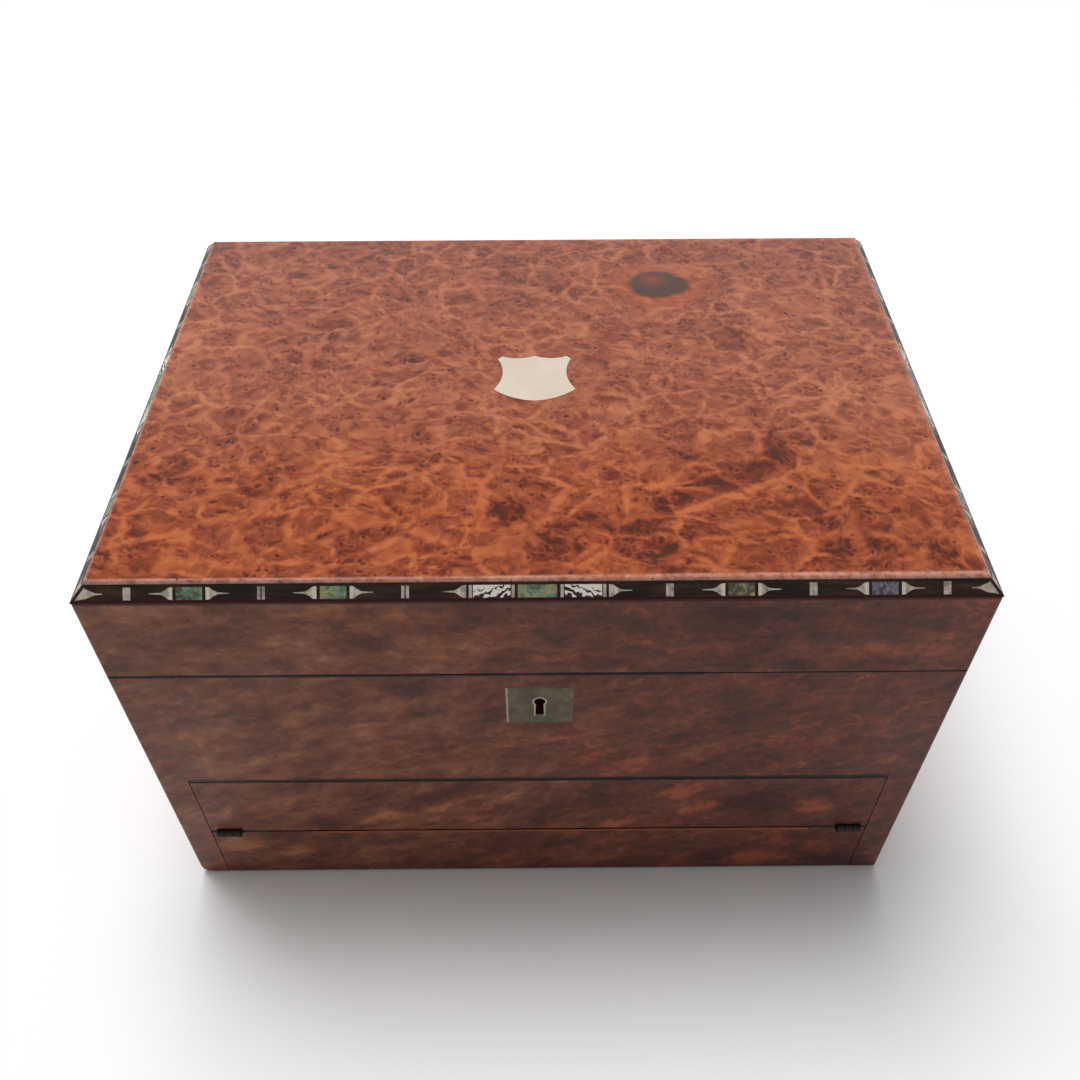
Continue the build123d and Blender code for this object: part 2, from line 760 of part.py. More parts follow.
def make_mirror_frame():
    """Four mitred rails, rebated behind for the glass."""
    half_x, half_y = frame_width / 2, frame_depth / 2
    open_x, open_y = half_x - frame_rail, half_y - frame_rail
    glass = block(-open_x - glass_overlap, open_x + glass_overlap, -open_y - glass_overlap,
                  open_y + glass_overlap, frame_low + frame_lip, frame_top)
    hole = block(-open_x, open_x, -open_y, open_y, frame_low, frame_top)
    ring = block(-half_x, half_x, -half_y, half_y, frame_low, frame_top) - glass - hole
    rails = []
    for way in (-1, 1):
        end = Polyline((-half_x, way * half_y), (half_x, way * half_y),
                       (open_x, way * open_y), (-open_x, way * open_y), close=True)
        side = Polyline((way * half_x, -half_y), (way * half_x, half_y),
                        (way * open_x, open_y), (way * open_x, -open_y), close=True)
        for outline in (end, side):
            prism = extrude(Pos(0, 0, frame_low) * make_face(outline.edges()), amount=frame_thick)
            rails.append(ring & prism)
    return rails


def make_mirror_glass():
    half_x = frame_width / 2 - frame_rail + glass_overlap - fit
    half_y = frame_depth / 2 - frame_rail + glass_overlap - fit
    low = frame_low + frame_lip
    return block(-half_x, half_x, -half_y, half_y, low, low + glass_thick)


button_top = frame_low - soft_gap
button_low = button_top - button_thick


def make_post(x):
    """A brass post in the lid that carries a turn-button on its riveted pin."""
    shape = rod_z(button_top + turn_fit, band_low + band / 2, x, 0, post_radius)
    shape = shape + rod_z(button_low - turn_fit, button_top + turn_fit, x, 0, button_pin)
    return shape + rod_z(button_low - turn_fit - button_head_height, button_low - turn_fit, x, 0,
                         button_head)


def make_turn_button(x):
    """An oval brass button that holds the mirror's frame."""
    plate = SlotOverall(button_length, button_width)
    shape = extrude(Pos(x, 0, button_low) * plate, amount=button_thick)
    return shape - rod_z(button_low, button_top, x, 0, button_pin + turn_fit)


# ================================================================ drawer
def make_rail():
    """The fixed lower part of the drawer's front."""
    shape = block(-drawer_x, drawer_x, -half_d, drawer_front, toe_gap, rail_top)
    for x in (-flap_knuckle_side, flap_knuckle_side):
        shape = shape - flap_leaf_plate(x, rail_top - flap_leaf_thick / 2, rail_top, fit)
        shape = shape - knuckle_notch(x, flap_knuckle_length, flap_axis, hinge_line, flap_knuckle)
    return shape


def make_flap():
    """The falling front, its top planed back so that it clears the case as it falls."""
    swing = math.hypot(flap_top - hinge_line, -half_d - flap_axis)
    back = drawer_front - front_gap
    inner = math.sqrt(swing ** 2 - (back - flap_axis) ** 2)
    mid = (-half_d + back) / 2
    middle = math.sqrt(swing ** 2 - (mid - flap_axis) ** 2)
    outline = Polyline((-half_d, flap_low), (-half_d, flap_top), (mid, hinge_line + middle - fit),
                       (back, hinge_line + inner - fit), (back, flap_low), close=True)
    face = Plane(origin=(-drawer_x, 0, 0), x_dir=(0, 1, 0), z_dir=(1, 0, 0)) * make_face(outline.edges())
    shape = extrude(face, amount=2 * drawer_x)
    for x in (-flap_knuckle_side, flap_knuckle_side):
        shape = shape - flap_leaf_plate(x, flap_low, flap_low + flap_leaf_thick / 2, fit)
        shape = shape - knuckle_notch(x, flap_knuckle_length, flap_axis, hinge_line, flap_knuckle)
    return shape


def make_drawer_side(side):
    x0, x1 = sorted((side * drawer_in, side * drawer_x))
    shape = block(x0, x1, drawer_front, drawer_back, drawer_low, drawer_top)
    if side > 0:
        hole_depth = pin_throw + drawer_side / 4
        shape = shape - rod_z(drawer_top - hole_depth, drawer_top, pin_side, pin_y,
                              pin_radius + soft_gap)
    return shape


def make_drawer_back():
    return block(-drawer_in, drawer_in, drawer_back - drawer_side, drawer_back, floor_top, drawer_top)


def make_drawer_floor():
    return block(-drawer_in, drawer_in, drawer_front, drawer_back, floor_top - drawer_floor, floor_top)


divider_y = drawer_front + soft_gap + ring_pad_depth + soft_gap + divider / 2


def make_divider():
    """The board across the drawer, behind the ring rack."""
    return block(-drawer_in, drawer_in, divider_y - divider / 2, divider_y + divider / 2,
                 floor_top, rail_top)


def make_ring_pad():
    """The padded rack for rings, in front of the divider."""
    shape = block(-drawer_in + soft_gap, drawer_in - soft_gap, drawer_front + soft_gap,
                  divider_y - divider / 2 - soft_gap, floor_top, floor_top + ring_pad_height - drawer_floor)
    return fillet(shape.edges().group_by(Axis.Z)[-1], ring_pad_round)


# ================================================================ tray
column_x = tray_x - tray_wall - column_width


def make_tray_floor():
    return block(-tray_x, tray_x, tray_front, tray_back, tray_low, cell_low)


def make_tray_walls():
    """Four boards on the tray's floor."""
    sides = [block(*sorted((side * tray_x, side * (tray_x - tray_wall))), tray_front, tray_back,
                   cell_low, tray_top) for side in (-1, 1)]
    span = tray_x - tray_wall
    front = block(-span, span, tray_front, tray_front + tray_wall, cell_low, tray_top)
    back = block(-span, span, tray_back - tray_wall, tray_back, cell_low, tray_top)
    return sides + [front, back]


def make_tray_dividers():
    """Two long partitions, four short ones in the side columns and one across the middle."""
    front, back = tray_front + tray_wall, tray_back - tray_wall
    high = tray_top - tray_divider
    boards = []
    for side in (-1, 1):
        long_x = sorted((side * column_x, side * (column_x - tray_divider)))
        boards.append(block(*long_x, front, back, cell_low, high))
        cell_x = sorted((side * column_x, side * (tray_x - tray_wall)))
        boards.append(block(*cell_x, front + cell_front, front + cell_front + tray_divider,
                            cell_low, high))
        boards.append(block(*cell_x, back - cell_back - tray_divider, back - cell_back,
                            cell_low, high))
    span = column_x - tray_divider
    boards.append(block(-span, span, back - centre_back - tray_divider, back - centre_back,
                        cell_low, high))
    return boards


def make_straps():
    """Two lifting straps, sewn flat to the inside of the tray's end walls."""
    straps = []
    for side in (-1, 1):
        x0, x1 = sorted((side * (tray_x - tray_wall), side * (tray_x - tray_wall - tab_strap_thick)))
        middle = (tray_front + cell_front + tray_back - cell_back) / 2
        straps.append(block(x0, x1, middle - tab_strap / 2, middle + tab_strap / 2,
                            tray_top - tray_height / 2, tray_top + tab_strap_thick))
    return straps


jar_x = tray_x - tray_wall - column_width / 2
jar_front_y = tray_front + tray_wall + cell_front / 2
jar_back_y = tray_back - tray_wall - cell_back / 2
jar_low = cell_low + soft_gap
jar_top = jar_low + jar_height


def jar_hollow(x, y):
    return rod_z(jar_low + jar_floor, jar_top, x, y, jar_well)


def make_square_jar(x):
    shape = Pos(x, jar_front_y, jar_low + jar_height / 2) * Box(jar_side, jar_side, jar_height)
    shape = fillet(shape.edges().filter_by(Axis.Z), jar_floor)
    return shape - jar_hollow(x, jar_front_y)


def make_round_jar(x):
    return rod_z(jar_low, jar_top, x, jar_back_y, jar_radius) - jar_hollow(x, jar_back_y)


def cap_spigot_rod(x, y):
    return rod_z(jar_top - cap_spigot, jar_top, x, y, jar_well - soft_gap)


def make_square_cap(x):
    """A plated cap with a domed top; its spigot drops into the jar."""
    shape = Pos(x, jar_front_y, jar_top + cap_height / 2) * Box(jar_side, jar_side, cap_height)
    shape = fillet(shape.edges().filter_by(Axis.Z), jar_floor)
    shape = fillet(shape.edges().group_by(Axis.Z)[-1], square_cap_round)
    return shape + cap_spigot_rod(x, jar_front_y)


def make_round_cap(x):
    shape = rod_z(jar_top, jar_top + cap_height, x, jar_back_y, jar_radius)
    shape = fillet(shape.edges().group_by(Axis.Z)[-1], round_cap_dome)
    return shape + cap_spigot_rod(x, jar_back_y)


# ================================================================ all the pieces
def build_case():
    write("base_board", make_base_board())
    write("case_left", make_case_side(-1, left_foot_round))
    write("case_right", make_case_side(1, right_foot_round))
    write("case_back", make_case_back())
    write("case_front", make_case_front())
    write("drawer_ceiling", make_ceiling())
    write("well_linings", *make_linings())
    write("tray_bearers", *make_bearers())
    write("case_hinge_leaves", *both_sides(case_leaf, lid_hinge_side))
    write("case_hinge_screws", *[screw(side * lid_hinge_side + dx, lid_screw_y, rim, False)
                                 for side in (-1, 1) for dx in lid_screws])
    write("lock_case", make_lock_case())
    write("lock_screws", *[screw(lock_x + side * lock_screw_x, lock_screw_y, rim, False)
                           for side in (-1, 1)])
    write("lock_bolt", make_bolt())
    write("escutcheon", escutcheon_plate(0) - keyhole(-half_d, -half_d + plate_thick))
    write("catch_pin", make_catch_pin())
    write("catch_pin_bush", make_bush())
    write("drawer_spring", make_spring())
    write("spring_screw", make_spring_screw())


def build_lid():
    write("lid_left", make_lid_side(-1))
    write("lid_right", make_lid_side(1))
    write("lid_front", make_lid_front())
    write("lid_back", make_lid_back())
    write("lid_top", make_lid_top())
    write("shield", shield_solid(0))
    turns = {"front": (width, half_d, 0), "right": (depth, half_w, 90),
             "back": (width, half_d, 180), "left": (depth, half_w, -90)}
    pearl, jewels = [], []
    for place, (length, offset, angle) in turns.items():
        side_pearl = pearl_pieces(length, offset)
        side_jewels = jewel_pieces(length, offset)
        strip = cut_all(strip_solid(length, offset), side_pearl + side_jewels)
        write(f"band_{place}", Rot(0, 0, angle) * strip)
        pearl += [Rot(0, 0, angle) * piece for piece in side_pearl]
        jewels += [Rot(0, 0, angle) * piece for piece in side_jewels]
    write("pearl_inlay", *pearl)
    write("abalone_inlay", *jewels)
    write("lid_hinge_leaves", *both_sides(lid_leaf, lid_hinge_side))
    write("lid_hinge_screws", *[screw(side * lid_hinge_side + dx, lid_screw_y, lid_low, True)
                                for side in (-1, 1) for dx in lid_screws])
    write("lid_hinge_pins", *both_sides(
        lambda x: hinge_pin(x, lid_hinge_length, lid_axis, case_height, lid_pin), lid_hinge_side))
    write("link_plate", make_link_plate())
    write("link_screws", *[screw(lock_x + side * lock_screw_x, lock_screw_y, lid_low, True)
                           for side in (-1, 1)])
    write("lid_pad", make_pad())
    write("mirror_frame", *make_mirror_frame())
    write("mirror_glass", make_mirror_glass())
    write("button_posts", *both_sides(make_post, button_x))
    write("turn_button_left", make_turn_button(-button_x))
    write("turn_button_right", make_turn_button(button_x))


def build_drawer():
    write("drawer_rail", make_rail())
    write("drawer_left", make_drawer_side(-1))
    write("drawer_right", make_drawer_side(1))
    write("drawer_back", make_drawer_back())
    write("drawer_floor", make_drawer_floor())
    write("drawer_divider", make_divider())
    write("ring_pad", make_ring_pad())
    write("flap", make_flap())
    write("rail_hinge_leaves", *both_sides(rail_leaf, flap_knuckle_side))
    write("flap_hinge_leaves", *both_sides(flap_leaf_piece, flap_knuckle_side))
    write("flap_hinge_pins", *both_sides(
        lambda x: hinge_pin(x, flap_knuckle_length, flap_axis, hinge_line, flap_pin),
        flap_knuckle_side))


def build_tray():
    write("tray_floor", make_tray_floor())
    write("tray_walls", *make_tray_walls())
    write("tray_dividers", *make_tray_dividers())
    write("tray_straps", *make_straps())
    write("square_jars", *both_sides(make_square_jar, jar_x))
    write("square_jar_caps", *both_sides(make_square_cap, jar_x))
    write("round_jars", *both_sides(make_round_jar, jar_x))
    write("round_jar_caps", *both_sides(make_round_cap, jar_x))


build_case()
build_lid()
build_drawer()
build_tray()
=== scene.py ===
import math
import bpy
from mathutils import Matrix, Vector


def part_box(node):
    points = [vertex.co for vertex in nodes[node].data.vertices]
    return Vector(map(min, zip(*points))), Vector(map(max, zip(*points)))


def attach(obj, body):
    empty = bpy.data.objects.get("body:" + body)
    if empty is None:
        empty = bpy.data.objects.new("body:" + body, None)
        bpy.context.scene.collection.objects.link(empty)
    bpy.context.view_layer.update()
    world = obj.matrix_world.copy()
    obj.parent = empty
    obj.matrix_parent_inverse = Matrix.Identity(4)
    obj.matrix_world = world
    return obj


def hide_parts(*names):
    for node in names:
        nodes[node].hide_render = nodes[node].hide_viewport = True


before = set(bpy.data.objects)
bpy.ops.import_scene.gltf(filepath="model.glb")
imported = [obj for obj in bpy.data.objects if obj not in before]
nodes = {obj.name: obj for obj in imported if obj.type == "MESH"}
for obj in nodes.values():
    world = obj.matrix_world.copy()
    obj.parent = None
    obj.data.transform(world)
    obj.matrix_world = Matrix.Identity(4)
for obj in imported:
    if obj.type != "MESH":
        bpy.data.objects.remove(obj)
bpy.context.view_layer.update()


# ---------------------------------------------------------------- camera
# A camera stands in front of the box at about arm's length and looks down on its lid,
# turned a hair to the right.
eye_place = (-0.00029, -0.33363, 0.45244)
look_down, look_right, lean = math.radians(46.399), math.radians(0.2886), math.radians(-0.2132)
camera_data = bpy.data.cameras.new("camera")
camera_data.lens = 35.43
camera_data.sensor_width = 36.0
camera_data.clip_start = 0.02
camera = bpy.data.objects.new("camera", camera_data)
camera.matrix_world = (
    Matrix.Translation(eye_place)
    @ Matrix.Rotation(-look_right, 4, "Z")
    @ Matrix.Rotation(math.pi / 2 - look_down, 4, "X")
    @ Matrix.Rotation(lean, 4, "Z"))
bpy.context.scene.collection.objects.link(camera)
bpy.context.scene.camera = camera
bpy.context.scene.view_settings.view_transform = "Standard"


# ---------------------------------------------------------------- table and light
# The box stands on a wide chalk-white table top that fades into the white room round it.
# One large soft lamp hangs above, a little behind and to the left. The room fills in the
# rest, and its ceiling is dark in the polish, so that the veneer keeps its depth.
def paint(red, green, blue):
    """A colour as a painter picks it, 0 to 255, in the linear numbers that shaders take."""
    parts = [value / 255 for value in (red, green, blue)]
    return tuple(p / 12.92 if p <= 0.04045 else ((p + 0.055) / 1.055) ** 2.4 for p in parts) + (1.0,)


def node(tree, kind, sockets, out=0, **settings):
    """Adds a shader node, links or sets its sockets, and gives back one of its outputs."""
    made = tree.nodes.new("ShaderNode" + kind)
    for key, value in settings.items():
        setattr(made, key, value)
    for key, value in sockets.items():
        if isinstance(value, bpy.types.NodeSocket):
            tree.links.new(value, made.inputs[key])
        else:
            made.inputs[key].default_value = value
    return made.outputs[out]


def calc(tree, operation, *values):
    """One sum worked out in the shader."""
    return node(tree, "Math", dict(enumerate(values)), operation=operation)


def seen_by(tree, *kinds):
    """1 for the kinds of ray named, else 0."""
    found = 0.0
    for kind in kinds:
        found = calc(tree, "MAXIMUM", node(tree, "LightPath", {}, out=kind), found)
    return found


def new_material(name):
    """An empty material and its node tree."""
    made = bpy.data.materials.new(name)
    made.use_nodes = True
    made.node_tree.nodes.clear()
    return made, made.node_tree


def close(tree, shader):
    """Joins a shader to the material's output."""
    tree.links.new(shader, tree.nodes.new("ShaderNodeOutputMaterial").inputs["Surface"])


def in_mm(tree):
    """Places on the piece, in millimetres."""
    return node(tree, "VectorMath", {0: node(tree, "TexCoord", {}, out="Object"), 1: (1000.0,) * 3},
                operation="MULTIPLY")


def noise(tree, at, size, detail=3.0, rough=0.5, distortion=0.0, out="Fac"):
    """Noise with lumps of about a size in millimetres."""
    return node(tree, "TexNoise", {"Vector": at, "Scale": 1.0 / size, "Detail": detail,
                                   "Roughness": rough, "Distortion": distortion}, out=out)


def mixed(tree, share, under, over, how="MIX"):
    """One colour over another by a share from 0 to 1."""
    return node(tree, "Mix", {0: share, 6: under, 7: over}, out=2, data_type="RGBA", blend_type=how)


def rise(tree, value, low, high, start=0.0, end=1.0):
    """Goes smoothly from start to end while the value goes from low to high."""
    return node(tree, "MapRange", {"Value": value, "From Min": low, "From Max": high,
                                   "To Min": start, "To Max": end}, interpolation_type="SMOOTHSTEP")


def split(tree, at):
    """The three numbers of a place."""
    made = tree.nodes.new("ShaderNodeSeparateXYZ")
    tree.links.new(at, made.inputs[0])
    return made.outputs


pure_white = (1.0, 1.0, 1.0, 1.0)
table_width = 6.0
bpy.ops.object.select_all(action="DESELECT")
bpy.ops.mesh.primitive_plane_add(size=table_width)
table = bpy.context.active_object
table.name = "table_top"
table_white, tree = new_material("table_white")
chalk = mixed(tree, noise(tree, in_mm(tree), 60.0), (0.88, 0.88, 0.88, 1), (0.92, 0.92, 0.92, 1))
from_box = node(tree, "VectorMath", {0: in_mm(tree)}, out="Value", operation="LENGTH")
fading = node(tree, "MixShader", {
    0: rise(tree, from_box, 60.0, 1500.0),
    1: node(tree, "BsdfDiffuse", {"Color": pure_white}),
    2: node(tree, "Emission", {"Color": pure_white})})
close(tree, node(tree, "MixShader", {
    0: seen_by(tree, "Is Camera Ray", "Is Glossy Ray", "Is Transmission Ray"),
    1: node(tree, "BsdfDiffuse", {"Color": chalk}), 2: fading}))
table.data.materials.append(table_white)

room = bpy.data.worlds.new("white_room")
room.use_nodes = True
room.node_tree.nodes.clear()
tree = room.node_tree
_, north, upward = split(tree, node(tree, "TexCoord", {}, out="Generated"))
from_behind = calc(tree, "MULTIPLY", calc(tree, "ADD", north, upward), 0.6)
fill_light = rise(tree, from_behind, -0.3, 0.7, 0.13, 0.34)
mirrored = calc(tree, "MULTIPLY", rise(tree, upward, 0.38, 0.80, 1.0, 0.12), seen_by(tree, "Is Glossy Ray"))
seen = seen_by(tree, "Is Camera Ray", "Is Transmission Ray")
strength = calc(tree, "MAXIMUM", calc(tree, "MAXIMUM", fill_light, mirrored), seen)
tree.links.new(node(tree, "Background", {"Color": pure_white, "Strength": strength}),
               tree.nodes.new("ShaderNodeOutputWorld").inputs["Surface"])
bpy.context.scene.world = room


def hang_lamp(name, place, aim, width, length, power):
    """A rectangular soft lamp that points at a place and isn't mirrored in the polish."""
    data = bpy.data.lights.new(name, "AREA")
    data.shape, data.size, data.size_y, data.energy = "RECTANGLE", width, length, power
    lamp = bpy.data.objects.new(name, data)
    lamp.location = place
    lamp.visible_glossy = False
    lamp.rotation_euler = (Vector(aim) - Vector(place)).to_track_quat("-Z", "Y").to_euler()
    bpy.context.scene.collection.objects.link(lamp)


hang_lamp("lamp_above", place=(-0.5, 0.95, 3.4), aim=(0.0, 0.0, 0.1), width=2.0, length=1.9, power=112.0)


# ---------------------------------------------------------------- base, ceiling and bearers
# Plain boards of mahogany inside the case: the floor that it stands on, the board between
# the drawer and the well, and the strips under the tray, all glued into the walls.
def stir(tree, at, size, reach, detail=2.0):
    """Pushes the places of a pattern about by up to a reach, in lumps of a size."""
    push = node(tree, "VectorMath", {0: noise(tree, at, size, detail, out="Color"), 1: (0.5,) * 3},
                operation="SUBTRACT")
    return node(tree, "VectorMath", {0: push, 1: (2.0 * reach,) * 3, 2: at}, operation="MULTIPLY_ADD")


def shrunk(tree, at, sizes, turn=(0, 0, 0), centre=(0, 0, 0)):
    """Places seen from a centre, turned, and measured in sizes: 1 is one size away."""
    return node(tree, "Mapping", {"Vector": at, "Location": centre, "Rotation": turn, "Scale": sizes},
                vector_type="TEXTURE")


def tones(tree, value, *stops):
    """Colours along a scale, from pairs of a place and a colour."""
    made = tree.nodes.new("ShaderNodeValToRGB")
    ends = made.color_ramp.elements
    ends[0].position, ends[0].color = stops[0]
    ends[1].position, ends[1].color = stops[-1]
    for place, colour in stops[1:-1]:
        ends.new(place).color = colour
    tree.links.new(value, made.inputs["Fac"])
    return made.outputs["Color"]


def finish(tree, colour, rough, height=None, depth=0.1, **more):
    """The shader at the end of a material; depth is the bump's height in millimetres."""
    sockets = {"Base Color": colour, "Roughness": rough}
    sockets.update({key.replace("_", " "): value for key, value in more.items()})
    if height is not None:
        sockets["Normal"] = node(tree, "Bump", {"Height": height, "Distance": depth / 1000})
    close(tree, node(tree, "BsdfPrincipled", sockets))


def coat(names, material):
    """Puts a material on CAD nodes."""
    for name in names.split():
        mesh = nodes[name].data
        if not mesh.materials:
            mesh.materials.append(material)
        for slot in range(len(mesh.materials)):
            mesh.materials[slot] = material


def mahogany_colour(tree, at, along):
    """Plain straight-grained mahogany with its ribbon and its short dark pores."""
    stretch = [1.0, 1.0, 1.0]
    stretch["XYZ".index(along)] = 14.0
    grain_at = shrunk(tree, stir(tree, at, 40.0, 1.5), stretch)
    ribbon = noise(tree, grain_at, 7.0, 2.0)
    streak = noise(tree, grain_at, 1.1, 4.0, 0.6)
    pore = rise(tree, noise(tree, grain_at, 0.35, 1.0), 0.36, 0.44, 1.0, 0.0)
    value = calc(tree, "MULTIPLY_ADD", streak, 0.55, calc(tree, "MULTIPLY", ribbon, 0.45))
    colour = tones(tree, value, (0.30, paint(66, 28, 17)), (0.48, paint(104, 48, 28)),
                   (0.66, paint(136, 70, 41)))
    return mixed(tree, calc(tree, "MULTIPLY", pore, 0.7), colour, paint(44, 18, 12)), pore


def mahogany(name, along):
    """Waxed mahogany whose grain runs along an axis."""
    made, tree = new_material(name)
    colour, pore = mahogany_colour(tree, in_mm(tree), along)
    worn = noise(tree, in_mm(tree), 30.0, 4.0)
    finish(tree, colour, rise(tree, worn, 0.3, 0.7, 0.42, 0.6), calc(tree, "SUBTRACT", 1.0, pore), 0.05)
    return made


mahogany_across = mahogany("mahogany_across", "X")
mahogany_back = mahogany("mahogany_back", "Y")
coat("base_board drawer_ceiling tray_bearers", mahogany_across)


# ---------------------------------------------------------------- walls of the case
# Four boards faced with burr veneer under French polish, thin sheet over a mahogany core.
# Their outside is dark red-brown with soft clouds and streaks; the core shows at the rim.
def box_mm(name):
    """The two corners of a CAD node's box, in millimetres."""
    return [corner * 1000 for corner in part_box(name)]


veneer_thick = 0.8
case_low, case_high = box_mm("case_left")
half_width, half_depth, rim = -case_low.x, -case_low.y, case_high.z
flap_top = box_mm("flap")[1].z
band_low = box_mm("lid_left")[1].z


def apart(tree, first, second):
    """How far two numbers are apart."""
    return calc(tree, "ABSOLUTE", calc(tree, "SUBTRACT", first, second))


def past(tree, place, edge):
    """How far a place on an axis is past an edge that lies on both sides of the middle."""
    return calc(tree, "SUBTRACT", calc(tree, "ABSOLUTE", place), edge)


def past_border(tree, at, corner):
    """How far places are past the border of a rectangle round the middle: below 0 within."""
    x, y, z = split(tree, at)
    return calc(tree, "MAXIMUM", past(tree, x, corner.x), past(tree, y, corner.y))


def moved(tree, at, step):
    """Places moved by a step."""
    return node(tree, "VectorMath", {0: at, 1: step}, operation="ADD")


def swayed(tree, value, pattern, weight):
    """Moves a value up and down with a pattern whose middle is a half."""
    return calc(tree, "MULTIPLY_ADD", calc(tree, "SUBTRACT", pattern, 0.5), weight, value)


def far_from(tree, at, centre, sizes, turn=(0, 0, 0)):
    """How far places are from a centre, in the sizes of a blob round it."""
    seen = shrunk(tree, at, sizes, turn, centre)
    return node(tree, "VectorMath", {0: seen}, out="Value", operation="LENGTH")


def is_outside(tree, at):
    """1 in the veneer on the outside of the walls, 0 in the wood behind it."""
    core = Vector((half_width - veneer_thick, half_depth - veneer_thick))
    return rise(tree, past_border(tree, at, core), -0.05, 0.05)


endless = 1e4


def clouded(tree, at, value, spots, upright):
    """Adds clouds to a scale: each has its middle, its reach, its turn and its weight."""
    for (across, along), (wide, high), turn, weight in spots:
        if upright:
            centre, sizes, lean = (across, 0.0, along), (wide, endless, high), (0.0, -math.radians(turn), 0.0)
        else:
            centre, sizes, lean = (across, along, 0.0), (wide, high, endless), (0.0, 0.0, math.radians(turn))
        away = far_from(tree, at, centre, sizes, lean)
        value = calc(tree, "ADD", value, rise(tree, away, 0.25, 1.3, weight, 0.0))
    return value


def wall_veneer(name, lean, cut_from, warm=0.0, spots=(), seams=(), raw=None):
    """Dark burr for upright faces: lean tilts its streaks, cut_from is the place in the root
    that the sheet is cut from, and warm makes it lighter. Seams are heights of gaps painted
    dark as shade, from a least to a most reach, and raw gives the share of bare wood."""
    made, tree = new_material(name)
    at = in_mm(tree)
    wavy = stir(tree, moved(tree, at, cut_from), 34.0, 6.0)
    soft = stir(tree, stir(tree, wavy, 8.0, 3.2), 3.0, 0.8, 1.0)
    tilt = (0.0, -math.radians(lean), 0.0)
    clouds = noise(tree, shrunk(tree, soft, (2.2, 2.2, 0.9), tilt), 9.0, 4.0, 0.55)
    strokes = noise(tree, shrunk(tree, soft, (2.1, 2.1, 0.9), tilt), 4.2, 4.0, 0.6)
    hairs = noise(tree, shrunk(tree, wavy, (9.0, 9.0, 0.6), tilt), 0.9, 3.0, 0.6)
    patches = noise(tree, soft, 27.0, 2.0)
    curls = noise(tree, soft, 3.2, 2.0, 0.5, distortion=0.6)
    x, y, z = split(tree, at)
    along_front = calc(tree, "MULTIPLY", x, rise(tree, y, 1.0 - half_depth, 2.0 - half_depth, 1.0, 0.0))
    redder = rise(tree, swayed(tree, along_front, patches, 300.0), -60.0, 70.0)
    value = 0.5 + warm
    for pattern, weight in ((clouds, 0.52), (patches, 0.30), (strokes, 0.44), (hairs, 0.10),
                            (curls, calc(tree, "MULTIPLY_ADD", redder, 0.16, 0.22))):
        value = swayed(tree, value, pattern, weight)
    value = clouded(tree, stir(tree, stir(tree, at, 9.0, 4.0), 3.0, 1.6), value, spots, upright=True)
    brown = tones(tree, value, (0.28, paint(78, 40, 28)), (0.41, paint(104, 56, 40)),
                  (0.50, paint(125, 71, 50)), (0.59, paint(143, 86, 60)), (0.72, paint(178, 112, 74)))
    red = tones(tree, value, (0.28, paint(66, 32, 25)), (0.41, paint(86, 43, 32)),
                (0.50, paint(103, 52, 38)), (0.59, paint(122, 61, 43)), (0.72, paint(162, 82, 54)))
    figure = mixed(tree, redder, brown, red)
    under_band = rise(tree, z, band_low - 1.3, band_low - 0.8)
    figure = mixed(tree, under_band, figure, paint(52, 8, 4))
    if raw:
        figure = mixed(tree, raw(tree, at), figure, paint(150, 78, 40))
    # painted shade of the gaps: a near-black line along each seam height, ragged in width; at the rim it is
    # narrower right of x = 59 mm
    for height, dark_from, dark_to in seams:
        reach = rise(tree, noise(tree, at, 14.0, 3.0, 0.6), 0.35, 0.65, dark_from, dark_to)
        if height == rim:
            reach = calc(tree, "MULTIPLY", reach, rise(tree, x, 58.0, 59.5, 1.0, 0.45))
        gap_shade = rise(tree, calc(tree, "SUBTRACT", apart(tree, z, height), reach), -0.15, 0.15, 0.9, 0.0)
        figure = mixed(tree, gap_shade, figure, paint(6, 3, 2))
    core = mahogany_colour(tree, at, "X")[0]
    colour = mixed(tree, is_outside(tree, at), core, figure)
    smear = noise(tree, at, 24.0, 4.0, 0.6)
    ripple = calc(tree, "MULTIPLY_ADD", noise(tree, at, 6.0, 2.0), 0.6, hairs)
    finish(tree, colour, rise(tree, smear, 0.3, 0.7, 0.27, 0.40), ripple, 0.03, Specular_IOR_Level=0.18)
    return made


case_sheet = {"lean": 22, "cut_from": (0, 0, 31)}
# painted shade of the gap between the lid and the case, along the rim
rim_gap_shade = (rim, 0.75, 1.1)
coat("case_left case_right case_back", wall_veneer("burr_case_sides", **case_sheet, seams=(rim_gap_shade,)))
# the case front also gets painted shade above the gap over the flap
coat("case_front", wall_veneer("burr_case_front", **case_sheet, spots=(
    ((-47, 140), (13, 9), 0, -0.13), ((-110, 127), (12, 8), 0, -0.12), ((-17, 119), (5, 9), 0, -0.12),
    ((-93, 115), (10, 7), 15, 0.09), ((-67, 114), (8, 8), 30, 0.09), ((-111, 92), (15, 8), 20, 0.08),
    ((-42, 94), (20, 5), 22, -0.08), ((71, 132), (11, 11), -20, -0.13), ((38, 123), (13, 5), 8, -0.13),
    ((51, 107), (10, 5), 15, -0.11), ((76, 88), (22, 7), 8, -0.13), ((124, 125), (12, 8), 0, -0.08),
    ((62, 96), (13, 6), 15, 0.10), ((39, 90), (9, 6), 20, 0.11), ((20, 108), (13, 9), 30, 0.05)),
    seams=(rim_gap_shade, (flap_top, 1.9, 2.3))))


